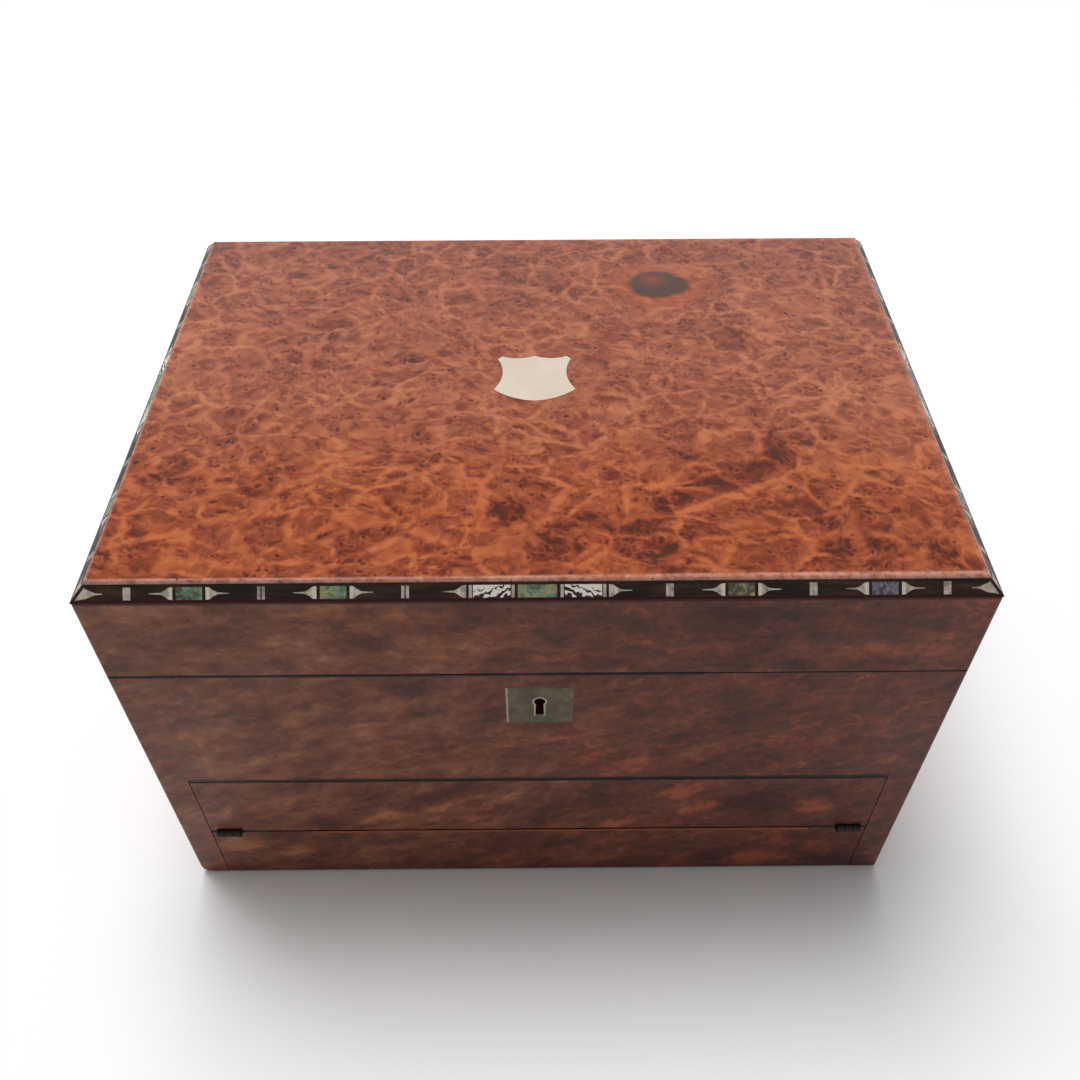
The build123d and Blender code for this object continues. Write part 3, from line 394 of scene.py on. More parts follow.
# ---------------------------------------------------------------- linings of the well
# Thin boards covered in dark leather that stand a little above the rim, so the lid
# locates on them. A gilt line is tooled along their top.
def leather(name, deep, light, gilt=None):
    """Grained leather; gilt gives the share of a tooled gold line from the tree and the places."""
    made, tree = new_material(name)
    at = in_mm(tree)
    pebble_size = 0.9
    pebble = node(tree, "TexVoronoi", {"Vector": stir(tree, at, 2.0, 0.4), "Scale": 1 / pebble_size},
                  out="Distance")
    crease = noise(tree, at, 3.0, 3.0)
    cloud = noise(tree, at, 45.0, 3.0)
    colour = tones(tree, calc(tree, "MULTIPLY_ADD", pebble, -0.25, cloud), (0.2, deep), (0.6, light))
    gold = 0.0
    if gilt:
        gold = calc(tree, "MULTIPLY", gilt(tree, at), rise(tree, noise(tree, at, 1.5, 4.0), 0.30, 0.42))
        colour = mixed(tree, gold, colour, paint(186, 140, 62))
    finish(tree, colour, 0.5, calc(tree, "MULTIPLY_ADD", pebble, -0.6, crease), 0.12, Metallic=gold)
    return made


def gilt_rim(top):
    """A gilt line just under a rim at a height."""
    line = top - 1.6

    def share(tree, at):
        return rise(tree, apart(tree, split(tree, at)[2], line), 0.30, 0.42, 1.0, 0.0)
    return share


plum_leather = (paint(44, 22, 34), paint(72, 38, 54))
coat("well_linings", leather("leather_linings", *plum_leather, gilt_rim(box_mm("well_linings")[1].z)))


# ---------------------------------------------------------------- lock
# A brass box lock is let into the front wall behind a flush plate of nickel silver, which
# is pierced for the key. Its bolt slides sideways; pins on the top plate are filed flush.
def metal(name, dull, bright, tarnish, rough=0.34, metallic=1.0):
    """Aged metal: cloudy tone, fine scratches one way, and darker tarnish in patches."""
    made, tree = new_material(name)
    at = in_mm(tree)
    brushed = noise(tree, shrunk(tree, at, (6.0, 0.6, 0.6)), 0.5, 3.0, 0.7)
    clouds = noise(tree, stir(tree, at, 8.0, 2.0), 7.0, 5.0, 0.6)
    tarnished = rise(tree, noise(tree, at, 3.0, 5.0, 0.65), 0.55, 0.72, 0.0, 0.75)
    colour = mixed(tree, tarnished, mixed(tree, clouds, dull, bright), tarnish)
    finish(tree, colour, calc(tree, "MULTIPLY_ADD", clouds, 0.2, rough - 0.1), brushed, 0.01,
           Metallic=metallic)
    return made


aged_brass = metal("aged_brass", paint(146, 110, 62), paint(190, 154, 94), paint(84, 60, 34))
coat("lock_case lock_screws lock_bolt", aged_brass)

plate_low = box_mm("escutcheon")[0]
key_x, key_z = 0.5, 131.0
head_radius, slot_drop, slot_half = 2.1, 8.0, 1.5
nickel_silver, tree = new_material("nickel_silver")
at = in_mm(tree)
x, y, z = split(tree, at)
rub = noise(tree, shrunk(tree, at, (5.0, 1.0, 1.0)), 0.6, 4.0, 0.7)
stain = noise(tree, stir(tree, at, 6.0, 2.0), 6.0, 5.0, 0.6)
silvery = tones(tree, stain, (0.3, paint(70, 62, 49)), (0.5, paint(90, 80, 64)), (0.7, paint(110, 100, 82)))
# painted highlight along the plate's left edge, where it catches the light; a pale rim round the keyhole too
left_edge_highlight = rise(tree, x, plate_low.x + 0.3, plate_low.x + 1.1, 0.45, 0.0)
from_head = node(tree, "VectorMath", {0: at, 1: (key_x, plate_low.y, key_z)},
                 out="Value", operation="DISTANCE")
round_head = apart(tree, from_head, head_radius + 0.3)
beside_slot = calc(tree, "MAXIMUM", apart(tree, apart(tree, x, key_x), slot_half + 0.25),
                   calc(tree, "SUBTRACT", apart(tree, z, key_z - slot_drop / 2), slot_drop / 2 + 0.4))
hole_edge = rise(tree, calc(tree, "MINIMUM", round_head, beside_slot), 0.15, 0.5, 0.6, 0.0)
bright = calc(tree, "MAXIMUM", left_edge_highlight, hole_edge)
finish(tree, mixed(tree, bright, silvery, paint(196, 188, 164)), rise(tree, rub, 0.3, 0.7, 0.36, 0.5),
       rub, 0.008, Metallic=0.85)
coat("escutcheon", nickel_silver)


# ---------------------------------------------------------------- hinges of the lid
# Two brass stop hinges, each a leaf let into the case and one into the lid, held by three
# countersunk screws a leaf; the knuckles stand just proud of the back.
coat("case_hinge_leaves case_hinge_screws lid_hinge_leaves lid_hinge_screws lid_hinge_pins", aged_brass)


# ---------------------------------------------------------------- catch pin and drawer spring
# A turned brass pin with a knob drops through a bush into the drawer's side and locks it.
# Behind the drawer a bowed leaf of blued steel, held by one screw, pushes it out.
coat("catch_pin catch_pin_bush", aged_brass)
blued_steel = metal("blued_steel", paint(46, 50, 66), paint(78, 82, 96), paint(66, 44, 36))
coat("drawer_spring spring_screw", blued_steel)


# ---------------------------------------------------------------- lid
# A flat top and four walls. The top is a sheet of amboyna-like burr cut from one root: red
# islands full of tiny eyes, parted by golden rivers, with one knot behind the middle.
top_half = box_mm("lid_top")[1]
top_veneer, tree = new_material("burr_top")
at = in_mm(tree)
x, y, z = split(tree, at)
front = rise(tree, y, -75.0, 0.0, 1.0, 0.0)
big = stir(tree, at, 50.0, 8.0, 1.0)
stirred = stir(tree, stir(tree, big, 14.0, 3.4, 1.0), 5.5, 1.5, 2.0)
ragged = stir(tree, stir(tree, stirred, 5.0, 2.2, 1.0), 1.9, 0.9, 1.0)


def cells(places, out="Distance", feature="F1", **more):
    """Scattered cells, one to a unit: how far places are from their middles, or their colour."""
    return node(tree, "TexVoronoi", {"Vector": places, "Scale": 1.0, **more}, out=out, feature=feature)


# rivers between the islands, and the ragged shore of the red land
broad = noise(tree, big, 50.0, 2.0)
middling = noise(tree, stirred, 15.0, 2.0)
islands = shrunk(tree, stirred, (15.0, 12.75, 15.0))
island_tone = split(tree, cells(islands, "Color"))[0]
rivers = rise(tree, cells(islands, feature="DISTANCE_TO_EDGE"), 0.0, 0.15, 1.0, 0.0)
islets = shrunk(tree, stirred, (7.5, 6.375, 7.5))
brooks = rise(tree, cells(islets, feature="DISTANCE_TO_EDGE"), 0.0, 0.26, 1.0, 0.0)
river_share = rise(tree, noise(tree, stirred, 20.0), 0.40, 0.58, 0.05, 0.24)
inlets = noise(tree, ragged, 6.4, 3.0, 0.60)
bays = noise(tree, shrunk(tree, ragged, (1.2, 0.9, 1.0), (0, 0, 0.5)), 9.5, 4.0, 0.62)
shore = node(tree, "Mix", {0: calc(tree, "MULTIPLY", front, 0.8), 2: inlets, 3: bays}, data_type="FLOAT")
land = rise(tree, calc(tree, "MULTIPLY_ADD", rivers, 0.09, shore), 0.485, 0.59)
land_share = calc(tree, "MULTIPLY_ADD", front, 0.10, 0.15)
curls = noise(tree, stirred, 4.6, 2.0, 0.5, distortion=0.5)
threads = noise(tree, stir(tree, at, 3.0, 1.0), 1.3, 2.0, 0.5)

# eyes: a pale ring round a dark pit that lies a little beside its middle, so one side of the ring shows as a
# pale crescent, a painted highlight as on a small bump
eye_cells = shrunk(tree, stir(tree, stirred, 2.2, 0.7, 1.0), (3.7, 3.0, 3.7))
eye_tone = split(tree, cells(eye_cells, "Color"))[0]
ring = rise(tree, apart(tree, cells(eye_cells), 0.40), 0.03, 0.22, 0.27, 0.0)
pit = rise(tree, cells(moved(tree, eye_cells, (0.05, -0.16, 0.0))), 0.14, 0.42, -0.30, 0.0)
spotted = calc(tree, "MULTIPLY", calc(tree, "ADD", ring, pit), rise(tree, eye_tone, 0.15, 0.45))
inland = calc(tree, "MULTIPLY", rise(tree, land, 0.0, 1.0, 1.0, 0.25),
              rise(tree, middling, 0.44, 0.68, 1.0, 0.45))

# beads: painted light and shade, lighter on one side than on the other, as if the figure stood in relief and
# were lit from that side
bead_cells = shrunk(tree, stir(tree, stirred, 3.0, 1.2, 1.0), (5.4, 4.4, 5.4))
bead, beside_bead = (cells(places, feature="SMOOTH_F1", Smoothness=0.4)
                     for places in (bead_cells, moved(tree, bead_cells, (0.10, 0.24, 0.0))))
relief_shading = calc(tree, "MULTIPLY", calc(tree, "SUBTRACT", beside_bead, bead),
              rise(tree, front, 0.0, 1.0, 0.55, 0.85))

value = rise(tree, y, -100.0, 0.0, 0.33, 0.40)
value = swayed(tree, value, broad, 0.24)
value = swayed(tree, value, middling, 0.24)
for pattern, weight in ((rivers, river_share), (brooks, 0.12), (land, land_share)):
    value = calc(tree, "MULTIPLY_ADD", pattern, weight, value)
value = swayed(tree, value, curls, 0.36)
value = swayed(tree, value, threads, 0.18)
value = calc(tree, "MULTIPLY_ADD", calc(tree, "SUBTRACT", spotted, 0.08), inland, value)
value = swayed(tree, value, island_tone, 0.12)
value = calc(tree, "MULTIPLY_ADD", relief_shading, rise(tree, middling, 0.44, 0.64, 1.0, 0.2), value)

dark_swath = (
    ((74, -55), (18, 6), 22, -0.17), ((56, -66), (18, 6), 32, -0.17), ((38, -78), (18, 7), 30, -0.17),
    ((84, -46), (12, 9), 50, -0.14), ((70, -66), (24, 3), 28, 0.22), ((43, -83), (14, 3), 38, 0.22))
top_clouds = (
    ((0, 105), (400, 75), 0, -0.11), ((76, -54), (16, 7), 22, -0.11), ((56, -63), (17, 8), 32, -0.11),
    ((38, -76), (18, 8), 30, -0.11), ((88, -42), (12, 10), 50, -0.10), ((18, -79), (15, 7), 5, -0.24),
    ((6, -92), (12, 7), 40, -0.20), ((-8, -73), (9, 7), 0, -0.24), ((96, -76), (14, 6), -30, -0.26),
    ((99, -90), (7, 12), 0, -0.26), ((52, -85), (10, 3.5), 35, -0.22), ((40, -93), (5, 10), 0, -0.26),
    ((116, -95), (10, 5), 0, -0.22), ((134, -96), (7, 5), 0, -0.22), ((122, -74), (10, 5), 0, -0.16),
    ((-134, -100), (16, 5), 8, -0.24), ((-108, -103), (16, 4), 0, -0.20), ((-132, -52), (16, 4), 8, -0.26),
    ((-85, -51), (9, 6), 0, -0.16), ((132, 3), (24, 5), 4, -0.20), ((78, 34), (12, 20), -10, -0.14),
    ((138, -30), (22, 42), 0, 0.12), ((98, 52), (24, 30), 0, 0.10))
value = clouded(tree, stirred, value, dark_swath, upright=False)
value = clouded(tree, ragged, value, top_clouds, upright=False)
burr_colour = tones(tree, value, (0.02, paint(80, 36, 27)), (0.24, paint(112, 51, 36)),
                    (0.42, paint(136, 69, 48)), (0.58, paint(151, 81, 57)), (0.76, paint(168, 97, 67)),
                    (0.98, paint(186, 114, 80)))
# the front of the top is tinted deeper and more orange-red than the rear: partly the veneer's own tone and
# partly painted light, the paler rear standing in for the haze that the polish reflects there
burr_colour = mixed(tree, front, burr_colour, (1.0, 0.79, 0.52, 1.0), "MULTIPLY")

# the knot: a dark rim round a red heart, with a warm halo in the wood beside it
knot_at = stir(tree, stir(tree, at, 17.0, 3.0, 1.0), 3.4, 1.5, 3.0)
knot_size = (13.6, 10.6, endless)
knot = far_from(tree, knot_at, (53.8, 66.2, 0.0), knot_size)
heart = far_from(tree, knot_at, (51.2, 69.4, 0.0), knot_size)
mottle = swayed(tree, heart, noise(tree, at, 2.6, 3.0), 0.5)
knot_colour = tones(tree, mottle, (0.0, paint(132, 66, 48)), (0.30, paint(110, 54, 40)),
                    (0.56, paint(84, 56, 44)), (0.80, paint(70, 52, 42)), (1.15, paint(84, 50, 38)))
burr_colour = mixed(tree, rise(tree, knot, 1.0, 2.1, 0.45, 0.0), burr_colour, paint(176, 86, 46))
burr_colour = mixed(tree, rise(tree, knot, 0.82, 1.10, 1.0, 0.0), burr_colour, knot_colour)

# the lip: a painted highlight, pale along its rounded edge, patchy and strongest in front where the edge
# catches the light; it is also chipped here and there
lip_edge = rise(tree, x, -60.0, 90.0, -1.4, -2.2)
lip = rise(tree, calc(tree, "SUBTRACT", past_border(tree, at, top_half), lip_edge), -0.5, 0.5)
near_front_edge = rise(tree, y, 2.0 - top_half.y, 4.0 - top_half.y, 1.0, 0.35)
lip_highlight = calc(tree, "MULTIPLY", calc(tree, "MULTIPLY", lip, near_front_edge),
              rise(tree, noise(tree, at, 3.0, 4.0, 0.6), 0.35, 0.65, 0.28, 0.80))
burr_colour = mixed(tree, lip_highlight, burr_colour, paint(206, 152, 134))
chips = calc(tree, "MULTIPLY", lip, rise(tree, noise(tree, at, 1.6, 3.0), 0.66, 0.70))
burr_colour = mixed(tree, chips, burr_colour, paint(58, 34, 28))
polish = noise(tree, stir(tree, at, 30.0, 8.0), 22.0, 5.0, 0.6)
finish(tree, burr_colour, rise(tree, polish, 0.3, 0.7, 0.17, 0.26),
       calc(tree, "MULTIPLY_ADD", noise(tree, at, 5.0, 2.0), 0.6, value), 0.03)
coat("lid_top", top_veneer)

# the lid walls get painted shade along the rim, at the gap over the case
lid_sheet = {"lean": -2, "cut_from": (120, 0, 50), "seams": ((rim, 0.7, 0.95),)}
coat("lid_left lid_right lid_back", wall_veneer("burr_lid_sides", **lid_sheet))
coat("lid_front", wall_veneer("burr_lid_front", **lid_sheet, spots=(
    ((-61, 167), (15, 5), 0, -0.12), ((-30, 177), (14, 5), 0, -0.12), ((-109, 170), (12, 6), 0, -0.08),
    ((-29, 161), (15, 6), 15, 0.09), ((-83, 162), (14, 7), -8, 0.06), ((75, 180), (26, 6), 0, -0.15),
    ((39, 172), (11, 5), 0, -0.13), ((39, 160), (14, 4), -22, -0.10), ((80, 162), (8, 3), 0, -0.10),
    ((87, 152), (12, 3), 0, -0.12), ((104, 160), (22, 8), 0, 0.06))))


# ---------------------------------------------------------------- inlaid band
# Mitred strips of ebony round the top with a 45 degree face. Let into it are bars and
# spearheads of mother-of-pearl, engraved panels, and squares of abalone shell.
ebony, tree = new_material("ebony")
at = in_mm(tree)
grain = noise(tree, shrunk(tree, at, (9.0, 9.0, 1.0)), 1.6, 4.0, 0.6)
black = tones(tree, grain, (0.4, paint(24, 19, 16)), (0.62, paint(50, 34, 26)), (0.75, paint(76, 48, 32)))
red_foot = rise(tree, split(tree, at)[2], band_low + 0.4, band_low + 0.75, 1.0, 0.0)
finish(tree, mixed(tree, red_foot, black, paint(48, 8, 4)),
       rise(tree, noise(tree, at, 9.0, 4.0), 0.3, 0.7, 0.42, 0.55), grain, 0.02, Specular_IOR_Level=0.18)
coat("band_front band_back band_left band_right", ebony)

jewel_pitch, first_jewel = 46.9, 66.6
panel_start, panel_end = 8.8, 21.1
band_mid = band_low + 2.2
pearl, tree = new_material("mother_of_pearl")
at = in_mm(tree)
x, y, z = split(tree, at)
on_front = rise(tree, calc(tree, "ABSOLUTE", y), half_depth - 4.5, half_depth - 4.4)
along = node(tree, "Mix", {0: on_front, 2: calc(tree, "ABSOLUTE", y), 3: calc(tree, "ABSOLUTE", x)},
             data_type="FLOAT")
up = calc(tree, "MULTIPLY", calc(tree, "SUBTRACT", z, band_mid), math.sqrt(2.0))
shimmer = noise(tree, stir(tree, at, 4.0, 1.5), 3.0, 4.0, 0.6)
shell = tones(tree, shimmer, (0.30, paint(122, 110, 102)), (0.45, paint(160, 146, 134)),
              (0.58, paint(188, 174, 160)), (0.72, paint(182, 180, 166)))
from_jewel = calc(tree, "PINGPONG", calc(tree, "SUBTRACT", along, first_jewel), jewel_pitch / 2)
foot = calc(tree, "MULTIPLY", rise(tree, from_jewel, 5.3, 5.5), rise(tree, from_jewel, 6.4, 6.8, 1.0, 0.0))
shell = mixed(tree, calc(tree, "MULTIPLY", foot, 0.7), shell, paint(216, 204, 188))
groove = rise(tree, from_jewel, jewel_pitch / 2 - 0.33, jewel_pitch / 2 - 0.23,
              0.0, rise(tree, x, -20.0, 60.0, 0.85, 0.25))
in_panel = calc(tree, "MULTIPLY", rise(tree, along, panel_start - 0.1, panel_start + 0.1),
                rise(tree, along, panel_end - 0.1, panel_end + 0.1, 1.0, 0.0))
flat = node(tree, "CombineXYZ", {0: along, 1: up, 2: calc(tree, "MULTIPLY", x, 0.02)})
slanting = calc(tree, "MULTIPLY_ADD", along, 1.3, calc(tree, "MULTIPLY", up, 2.6))
leaf = calc(tree, "SINE", calc(tree, "MULTIPLY_ADD", noise(tree, flat, 2.2, 2.0), 13.0, slanting))
uncut = calc(tree, "MULTIPLY_ADD", calc(tree, "SUBTRACT", along, 14.9), 0.09,
             calc(tree, "MULTIPLY_ADD", up, 0.36, 0.32))
cut = calc(tree, "MULTIPLY", in_panel, rise(tree, calc(tree, "SUBTRACT", leaf, uncut), -0.12, 0.12))
inked = calc(tree, "MAXIMUM", groove, cut)
shell = mixed(tree, in_panel, shell, paint(222, 214, 202))
shell = mixed(tree, inked, shell, paint(40, 33, 29))
finish(tree, shell, 0.45, calc(tree, "SUBTRACT", shimmer, inked), 0.05, Specular_IOR_Level=0.25)
coat("pearl_inlay", pearl)


def grey(level):
    """A grey of a linear level."""
    return (level, level, level, 1.0)


abalone, tree = new_material("abalone")
at = in_mm(tree)
x, y, z = split(tree, at)
swirl = noise(tree, stir(tree, stir(tree, at, 7.0, 5.0), 2.4, 1.4), 3.6, 3.0, 0.55)
glint = noise(tree, stir(tree, at, 2.0, 1.0), 1.3, 3.0)
round_box = calc(tree, "MULTIPLY_ADD", y, 0.5, calc(tree, "ADD", x, half_depth / 2))
this_shell = tones(tree, calc(tree, "MULTIPLY_ADD", round_box, 1 / 300, 0.5), (0.10, grey(0.44)),
                   (0.28, grey(0.58)), (0.50, grey(0.62)), (0.70, grey(0.84)), (0.74, grey(0.84)),
                   (0.86, grey(0.10)))
hue = swayed(tree, this_shell, swirl, 1.1)
shell = tones(tree, hue, (0.02, paint(60, 52, 64)), (0.13, paint(124, 112, 130)), (0.22, paint(66, 62, 62)),
              (0.34, paint(62, 72, 58)), (0.45, paint(96, 108, 80)), (0.54, paint(76, 104, 86)),
              (0.63, paint(114, 136, 108)), (0.71, paint(148, 132, 84)), (0.80, paint(106, 94, 72)),
              (0.92, paint(76, 68, 56)))
shell = mixed(tree, rise(tree, glint, 0.52, 0.7, 0.0, 0.35), shell, paint(176, 182, 164))
finish(tree, shell, 0.4, glint, 0.03, Specular_IOR_Level=0.3)
coat("abalone_inlay", abalone)


# ---------------------------------------------------------------- shield
# A plain cartouche of sheet silver, let in flush with the veneer for its owner's initials,
# which were never cut. It is lightly rubbed.
silver, tree = new_material("rubbed_silver")
at = in_mm(tree)
rub = noise(tree, shrunk(tree, at, (7.0, 1.0, 1.0), (0, 0, 0.35)), 0.7, 4.0, 0.7)
mist = noise(tree, stir(tree, at, 9.0, 3.0), 10.0, 4.0)
# its pale colour is partly painted sheen, lifted to stand in for the lamp's reflection, which the polish
# doesn't mirror
finish(tree, tones(tree, mist, (0.3, paint(224, 209, 190)), (0.7, paint(232, 218, 199))),
       rise(tree, rub, 0.3, 0.7, 0.42, 0.55), rub, 0.01, Metallic=0.3)
coat("shield", silver)


# ---------------------------------------------------------------- lid's lock plate and fittings
# A brass link plate with two eyes takes the lock's bolt. Two brass posts in the top carry
# turn-buttons that hold the mirror's frame.
coat("link_plate link_screws button_posts turn_button_left turn_button_right", aged_brass)


# ---------------------------------------------------------------- mirror
# A bevelled looking-glass in four mitred rails covered with gilt-tooled leather. The
# silvering has spotted a little toward its edge.
looking_glass, tree = new_material("looking_glass")
at = in_mm(tree)
past_glass = past_border(tree, at, box_mm("mirror_glass")[1])
spots = rise(tree, calc(tree, "MULTIPLY_ADD", past_glass, 0.012, noise(tree, at, 4.0, 5.0, 0.65)),
             0.52, 0.62, 0.0, 0.8)
finish(tree, mixed(tree, spots, (0.86, 0.88, 0.88, 1), paint(70, 62, 54)),
       calc(tree, "MULTIPLY_ADD", spots, 0.4, 0.03), Metallic=calc(tree, "SUBTRACT", 1.0, spots))
coat("mirror_glass", looking_glass)

frame_low, frame_high = box_mm("mirror_frame")


def gilt_frame(tree, at):
    """Two gilt lines that run round the frame, the inner one broader."""
    past_frame = past_border(tree, at, frame_high)
    lines = [rise(tree, apart(tree, past_frame, -inset), half, half + 0.12, 1.0, 0.0)
             for inset, half in ((2.4, 0.25), (12.4, 0.45))]
    face = rise(tree, split(tree, at)[2], frame_low.z + 1, frame_low.z + 2, 1.0, 0.0)
    return calc(tree, "MULTIPLY", calc(tree, "MAXIMUM", *lines), face)


coat("mirror_frame", leather("leather_frame", *plum_leather, gilt_frame))


# ---------------------------------------------------------------- silk in the lid
# A thin pad of wadding covered with violet silk lies under the top, behind the mirror. It
# is glued at its edge and pulled into small gathers.
def cloth_swell(piece, voxel, pressure, cap):
    """Puffs a padded piece up by cloth simulation, no point further than the cap."""
    piece.data.remesh_voxel_size = voxel
    bpy.ops.object.voxel_remesh()
    frames = 20
    start = [vertex.co.copy() for vertex in piece.data.vertices]
    cloth = piece.modifiers.new("swell", "CLOTH")
    cloth.settings.use_pressure = True
    cloth.settings.uniform_pressure_force = pressure
    cloth.settings.effector_weights.gravity = 0.0
    cloth.point_cache.frame_end = frames
    for moment in range(1, frames + 1):
        bpy.context.scene.frame_set(moment)
    bpy.ops.object.modifier_apply(modifier="swell")
    bpy.context.scene.frame_set(1)
    for vertex, old in zip(piece.data.vertices, start):
        push = vertex.co - old
        if push.length > cap:
            vertex.co = old + push * (cap / push.length)


def add_block(name, low, high):
    """A block between two corners, all of it selected in edit mode."""
    bpy.ops.object.select_all(action="DESELECT")
    bpy.ops.mesh.primitive_cube_add(size=1.0, location=(low + high) / 2, scale=high - low)
    bpy.ops.object.transform_apply(location=True, rotation=True, scale=True)
    piece = bpy.context.active_object
    piece.name = piece.data.name = name
    bpy.ops.object.mode_set(mode="EDIT")
    bpy.ops.mesh.select_all(action="SELECT")
    return piece


pad_low, pad_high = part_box("lid_pad")
pad_mid = (pad_low.z + pad_high.z) / 2
cloth_room = Vector((0.0012, 0.0012, 0.0012))
silk_pad = add_block("silk_pad", pad_low + cloth_room, pad_high - cloth_room)
bpy.ops.mesh.bevel(offset=0.0018, segments=2)
bpy.ops.object.mode_set(mode="OBJECT")
cloth_swell(silk_pad, voxel=0.0028, pressure=3.0, cap=0.0011)
frame_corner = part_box("mirror_frame")[1]
border_width, edge_drop, fold_depth = 0.021, 0.0016, 0.0012
for vertex in silk_pad.data.vertices:
    past_x, past_y = abs(vertex.co.x) - frame_corner.x, abs(vertex.co.y) - frame_corner.y
    beyond = max(past_x, past_y)
    if vertex.co.z < pad_mid and beyond > 0:
        along_edge = vertex.co.y if past_x > past_y else vertex.co.x
        fold = 0.5 + 0.5 * math.sin(along_edge * 620 + 1.7 * math.sin(along_edge * 143))
        crown = math.sin(min(beyond / border_width, 1.0) * math.pi)
        vertex.co.z += edge_drop * (1 - crown) + fold_depth * fold
bpy.ops.object.shade_smooth()

silk, tree = new_material("violet_silk")
at = in_mm(tree)
x, y, z = split(tree, at)
nearer_side = calc(tree, "SUBTRACT", past(tree, x, frame_high.x), past(tree, y, frame_high.y))
at_side = rise(tree, nearer_side, -0.3, 0.3)
run = node(tree, "Mix", {0: at_side, 2: x, 3: y}, data_type="FLOAT")
gather_at = node(tree, "CombineXYZ", {0: run, 1: calc(tree, "MULTIPLY", at_side, 40.0), 2: 0.0})
gather = noise(tree, gather_at, 1.6, 3.0, 0.6)
thread_rate = 21.0
warp, weft = (calc(tree, "SINE", calc(tree, "MULTIPLY", place, thread_rate)) for place in (x, y))
weave = calc(tree, "MULTIPLY", warp, weft)
slub = noise(tree, shrunk(tree, at, (12.0, 0.6, 1.0)), 1.0, 3.0)
# the colour is painted lighter and darker along the gathers, painted sheen and shade of the folds, and varies
# with the slubs of the thread
lustre = calc(tree, "MULTIPLY_ADD", slub, 0.4, calc(tree, "MULTIPLY", gather, 0.6))
finish(tree, tones(tree, lustre, (0.3, paint(70, 46, 104)), (0.7, paint(120, 88, 160))),
       0.38, calc(tree, "MULTIPLY_ADD", weave, 0.06, gather), 0.5, Sheen_Weight=0.6)
silk_pad.data.materials.append(silk)
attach(silk_pad, "lid")
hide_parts("lid_pad")


# ---------------------------------------------------------------- drawer
# A shallow drawer of mahogany as wide as the case. Its front is a low fixed rail and above
# it a flap that falls on two small butt hinges, both veneered to match the case.
coat("drawer_left drawer_right", mahogany_back)
coat("drawer_back drawer_floor drawer_divider", mahogany_across)
rail_top = box_mm("drawer_rail")[1].z


def chipped_edge(tree, at):
    """Where the rail's top edge has lost its veneer, widening to the right hinge."""
    x, y, z = split(tree, at)
    ragged_height = swayed(tree, z, noise(tree, at, 2.0, 3.0), 1.6)
    depth = rise(tree, x, 74.0, 112.0, 1.7, 2.6)
    above = calc(tree, "SUBTRACT", ragged_height, calc(tree, "SUBTRACT", rail_top, depth))
    between_hinges = calc(tree, "MULTIPLY", rise(tree, x, -97.4, -97.0),
                          rise(tree, x, 115.4, 115.8, 1.0, 0.0))
    return calc(tree, "MULTIPLY", rise(tree, above, 0.0, 0.25), between_hinges)


# the dark lines at the rail's top and at the flap's top and foot are painted shade of the gaps round the flap
coat("drawer_rail", wall_veneer("burr_rail", lean=24, cut_from=(0, 0, 90), warm=-0.02, spots=(
    ((-129, 26), (13, 7), 25, 0.15), ((-110, 31), (11, 5), 20, -0.10), ((-108, 17), (14, 6), 10, 0.09),
    ((-68, 29), (20, 6), 0, -0.10), ((-16, 26), (34, 9), 0, -0.12), ((24, 14), (30, 9), 0, 0.08),
    ((96, 10), (15, 9), 0, 0.17), ((105, 26), (6, 6), 60, 0.15), ((122, 20), (7, 9), 60, 0.16),
    ((126, 6), (20, 6), 0, -0.13)), seams=((rail_top, 0.05, 0.3),), raw=chipped_edge))
coat("flap", wall_veneer("burr_flap", lean=30, cut_from=(30, 0, 90), warm=-0.01, spots=(
    ((-112, 59), (20, 9), 25, 0.07), ((-64, 49), (16, 4), 25, 0.19), ((-43, 54), (9, 3), 30, 0.17),
    ((-16, 60), (13, 4), 32, 0.16), ((-85, 47), (15, 6), 25, -0.12), ((-37, 66), (24, 6), 20, -0.12),
    ((0, 52), (14, 12), 0, -0.10), ((57, 67), (10, 7), 40, 0.24), ((66, 54), (10, 5), 30, 0.20),
    ((114, 55), (8, 15), 50, 0.20), ((36, 43), (12, 5), 15, 0.17), ((31, 60), (22, 8), 0, -0.12),
    ((91, 57), (17, 12), 0, -0.24)), seams=((flap_top, 0.5, 0.8), (rail_top, 0.7, 1.1))))
blackened_brass = metal("blackened_brass", paint(20, 17, 15), paint(38, 32, 28), paint(58, 44, 30),
                        rough=0.5, metallic=0.6)
coat("rail_hinge_leaves flap_hinge_leaves flap_hinge_pins", blackened_brass)


# ---------------------------------------------------------------- ring rack
# Seven rolls of wadding covered in violet velvet lie side by side on a padded board in
# front of the divider; rings stand between them.
rack_low, rack_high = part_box("ring_pad")
rolls, steps = 7, 12
end_room, side_room, top_room, cloth_room = 0.002, 0.0005, 0.0004, 0.0008
roll_pitch = (rack_high.y - rack_low.y - 2 * side_room) / rolls
roll_radius = roll_pitch / 2
roll_mid = rack_high.z - roll_radius - top_room
middle_y = rack_low.y + side_room + roll_radius
roll_length = rack_high.x - rack_low.x - 2 * end_room
bpy.ops.object.select_all(action="DESELECT")
bpy.ops.mesh.primitive_circle_add(
    vertices=20, radius=roll_radius - cloth_room, fill_type="NGON", rotation=(0, math.pi / 2, 0),
    location=(rack_low.x + end_room, middle_y, roll_mid))
bpy.ops.object.transform_apply(location=True, rotation=True, scale=True)
roll = bpy.context.active_object
roll.name = roll.data.name = "ring_rolls"
bpy.ops.object.mode_set(mode="EDIT")
bpy.ops.mesh.select_all(action="SELECT")
for step in range(steps):
    bpy.ops.mesh.extrude_region_move(TRANSFORM_OT_translate={"value": (roll_length / steps, 0, 0)})
bpy.ops.mesh.select_all(action="SELECT")
bpy.ops.mesh.normals_make_consistent(inside=False)
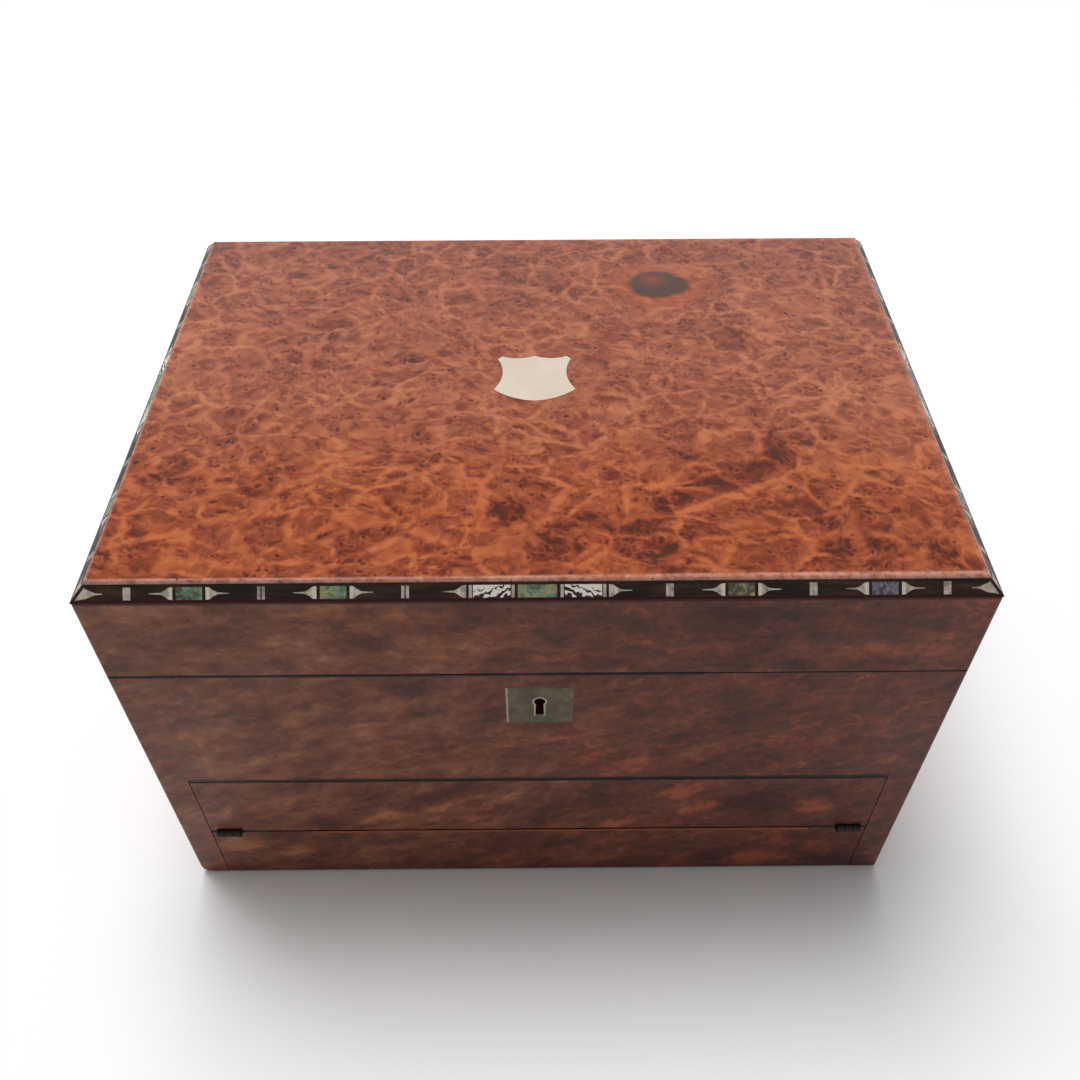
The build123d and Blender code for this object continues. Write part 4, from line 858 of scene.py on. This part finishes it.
bpy.ops.object.mode_set(mode="OBJECT")
cloth_swell(roll, voxel=0.0024, pressure=4.0, cap=0.0007)
seam_reach, seam_depth, ripple_depth = 0.006, 0.16, 0.018
for vertex in roll.data.vertices:
    from_end = min(vertex.co.x - rack_low.x, rack_high.x - vertex.co.x)
    pinch = 1.0 - seam_depth * max(0.0, 1.0 - from_end / seam_reach) ** 2
    ripple = 1.0 + ripple_depth * math.sin(vertex.co.x * 260) * math.sin(vertex.co.x * 97 + 1.0)
    vertex.co.y = middle_y + (vertex.co.y - middle_y) * pinch * ripple
    vertex.co.z = roll_mid + (vertex.co.z - roll_mid) * pinch * ripple
bpy.ops.object.shade_smooth()
roll_set = [roll]
for number in range(1, rolls):
    bpy.ops.object.select_all(action="DESELECT")
    roll.select_set(True)
    bpy.context.view_layer.objects.active = roll
    bpy.ops.object.duplicate(linked=False)
    copy = bpy.context.active_object
    for vertex in copy.data.vertices:
        vertex.co.y += roll_pitch * number
    roll_set.append(copy)
bpy.ops.object.select_all(action="DESELECT")
for piece in roll_set:
    piece.select_set(True)
bpy.context.view_layer.objects.active = roll
bpy.ops.object.join()

board_top = roll_mid - roll_radius * 0.35
rack_board = add_block("ring_rack_board", rack_low, Vector((rack_high.x, rack_high.y, board_top)))
bpy.ops.mesh.bevel(offset=0.0012, segments=3)
bpy.ops.object.mode_set(mode="OBJECT")
bpy.ops.object.shade_smooth_by_angle(angle=math.radians(40))

velvet, tree = new_material("violet_velvet")
at = in_mm(tree)
pile = noise(tree, at, 0.35, 2.0, 0.6)
crushed = noise(tree, stir(tree, at, 12.0, 5.0), 9.0, 3.0)
finish(tree, tones(tree, calc(tree, "MULTIPLY_ADD", pile, 0.25, calc(tree, "MULTIPLY", crushed, 0.75)),
                   (0.35, paint(36, 20, 60)), (0.65, paint(70, 44, 108))),
       0.85, pile, 0.12, Sheen_Weight=0.9, Sheen_Roughness=0.35)
for piece in (roll, rack_board):
    piece.data.materials.append(velvet)
    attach(piece, "drawer")
    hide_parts("ring_pad")


# ---------------------------------------------------------------- lift-out tray
# A shallow tray of thin boards covered in leather, with a gilt line round its top edge and
# two sewn straps to lift it by.
tray_leather = leather("leather_tray", *plum_leather, gilt_rim(box_mm("tray_walls")[1].z))
coat("tray_floor tray_walls tray_dividers", tray_leather)
coat("tray_straps", leather("leather_straps", paint(40, 18, 30), paint(64, 32, 46)))


# ---------------------------------------------------------------- jars
# Four clear glass jars for powder and creams, cut with diamonds on their sides, under caps
# of silver plate that are engine-turned on top.
cut_glass, tree = new_material("cut_glass")
at = in_mm(tree)
x, y, z = split(tree, at)
cut_pitch = 3.0
one_way, other_way = (calc(tree, "PINGPONG", calc(tree, slant, calc(tree, "ADD", x, y), z), cut_pitch)
                      for slant in ("ADD", "SUBTRACT"))
finish(tree, (0.93, 0.97, 0.97, 1), 0.03, calc(tree, "MINIMUM", one_way, other_way), 0.35,
       Transmission_Weight=1.0, IOR=1.52)
coat("square_jars round_jars", cut_glass)

round_cap_middle = (106.2, 63.2, 136.0)
cap_silver, tree = new_material("cap_silver")
at = in_mm(tree)
mist = noise(tree, stir(tree, at, 9.0, 3.0), 10.0, 2.0)
x, y, z = split(tree, at)
folded = node(tree, "CombineXYZ", {0: calc(tree, "ABSOLUTE", x), 1: y, 2: z})
from_middle = node(tree, "VectorMath", {0: folded, 1: round_cap_middle}, out="Value", operation="DISTANCE")
turning_rate = 5.0
lathe = calc(tree, "SINE", calc(tree, "MULTIPLY", from_middle, turning_rate))
finish(tree, tones(tree, mist, (0.3, paint(212, 205, 190)), (0.7, paint(226, 220, 206))),
       rise(tree, mist, 0.3, 0.7, 0.28, 0.38), lathe, 0.015, Metallic=0.7)
coat("square_jar_caps round_jar_caps", cap_silver)
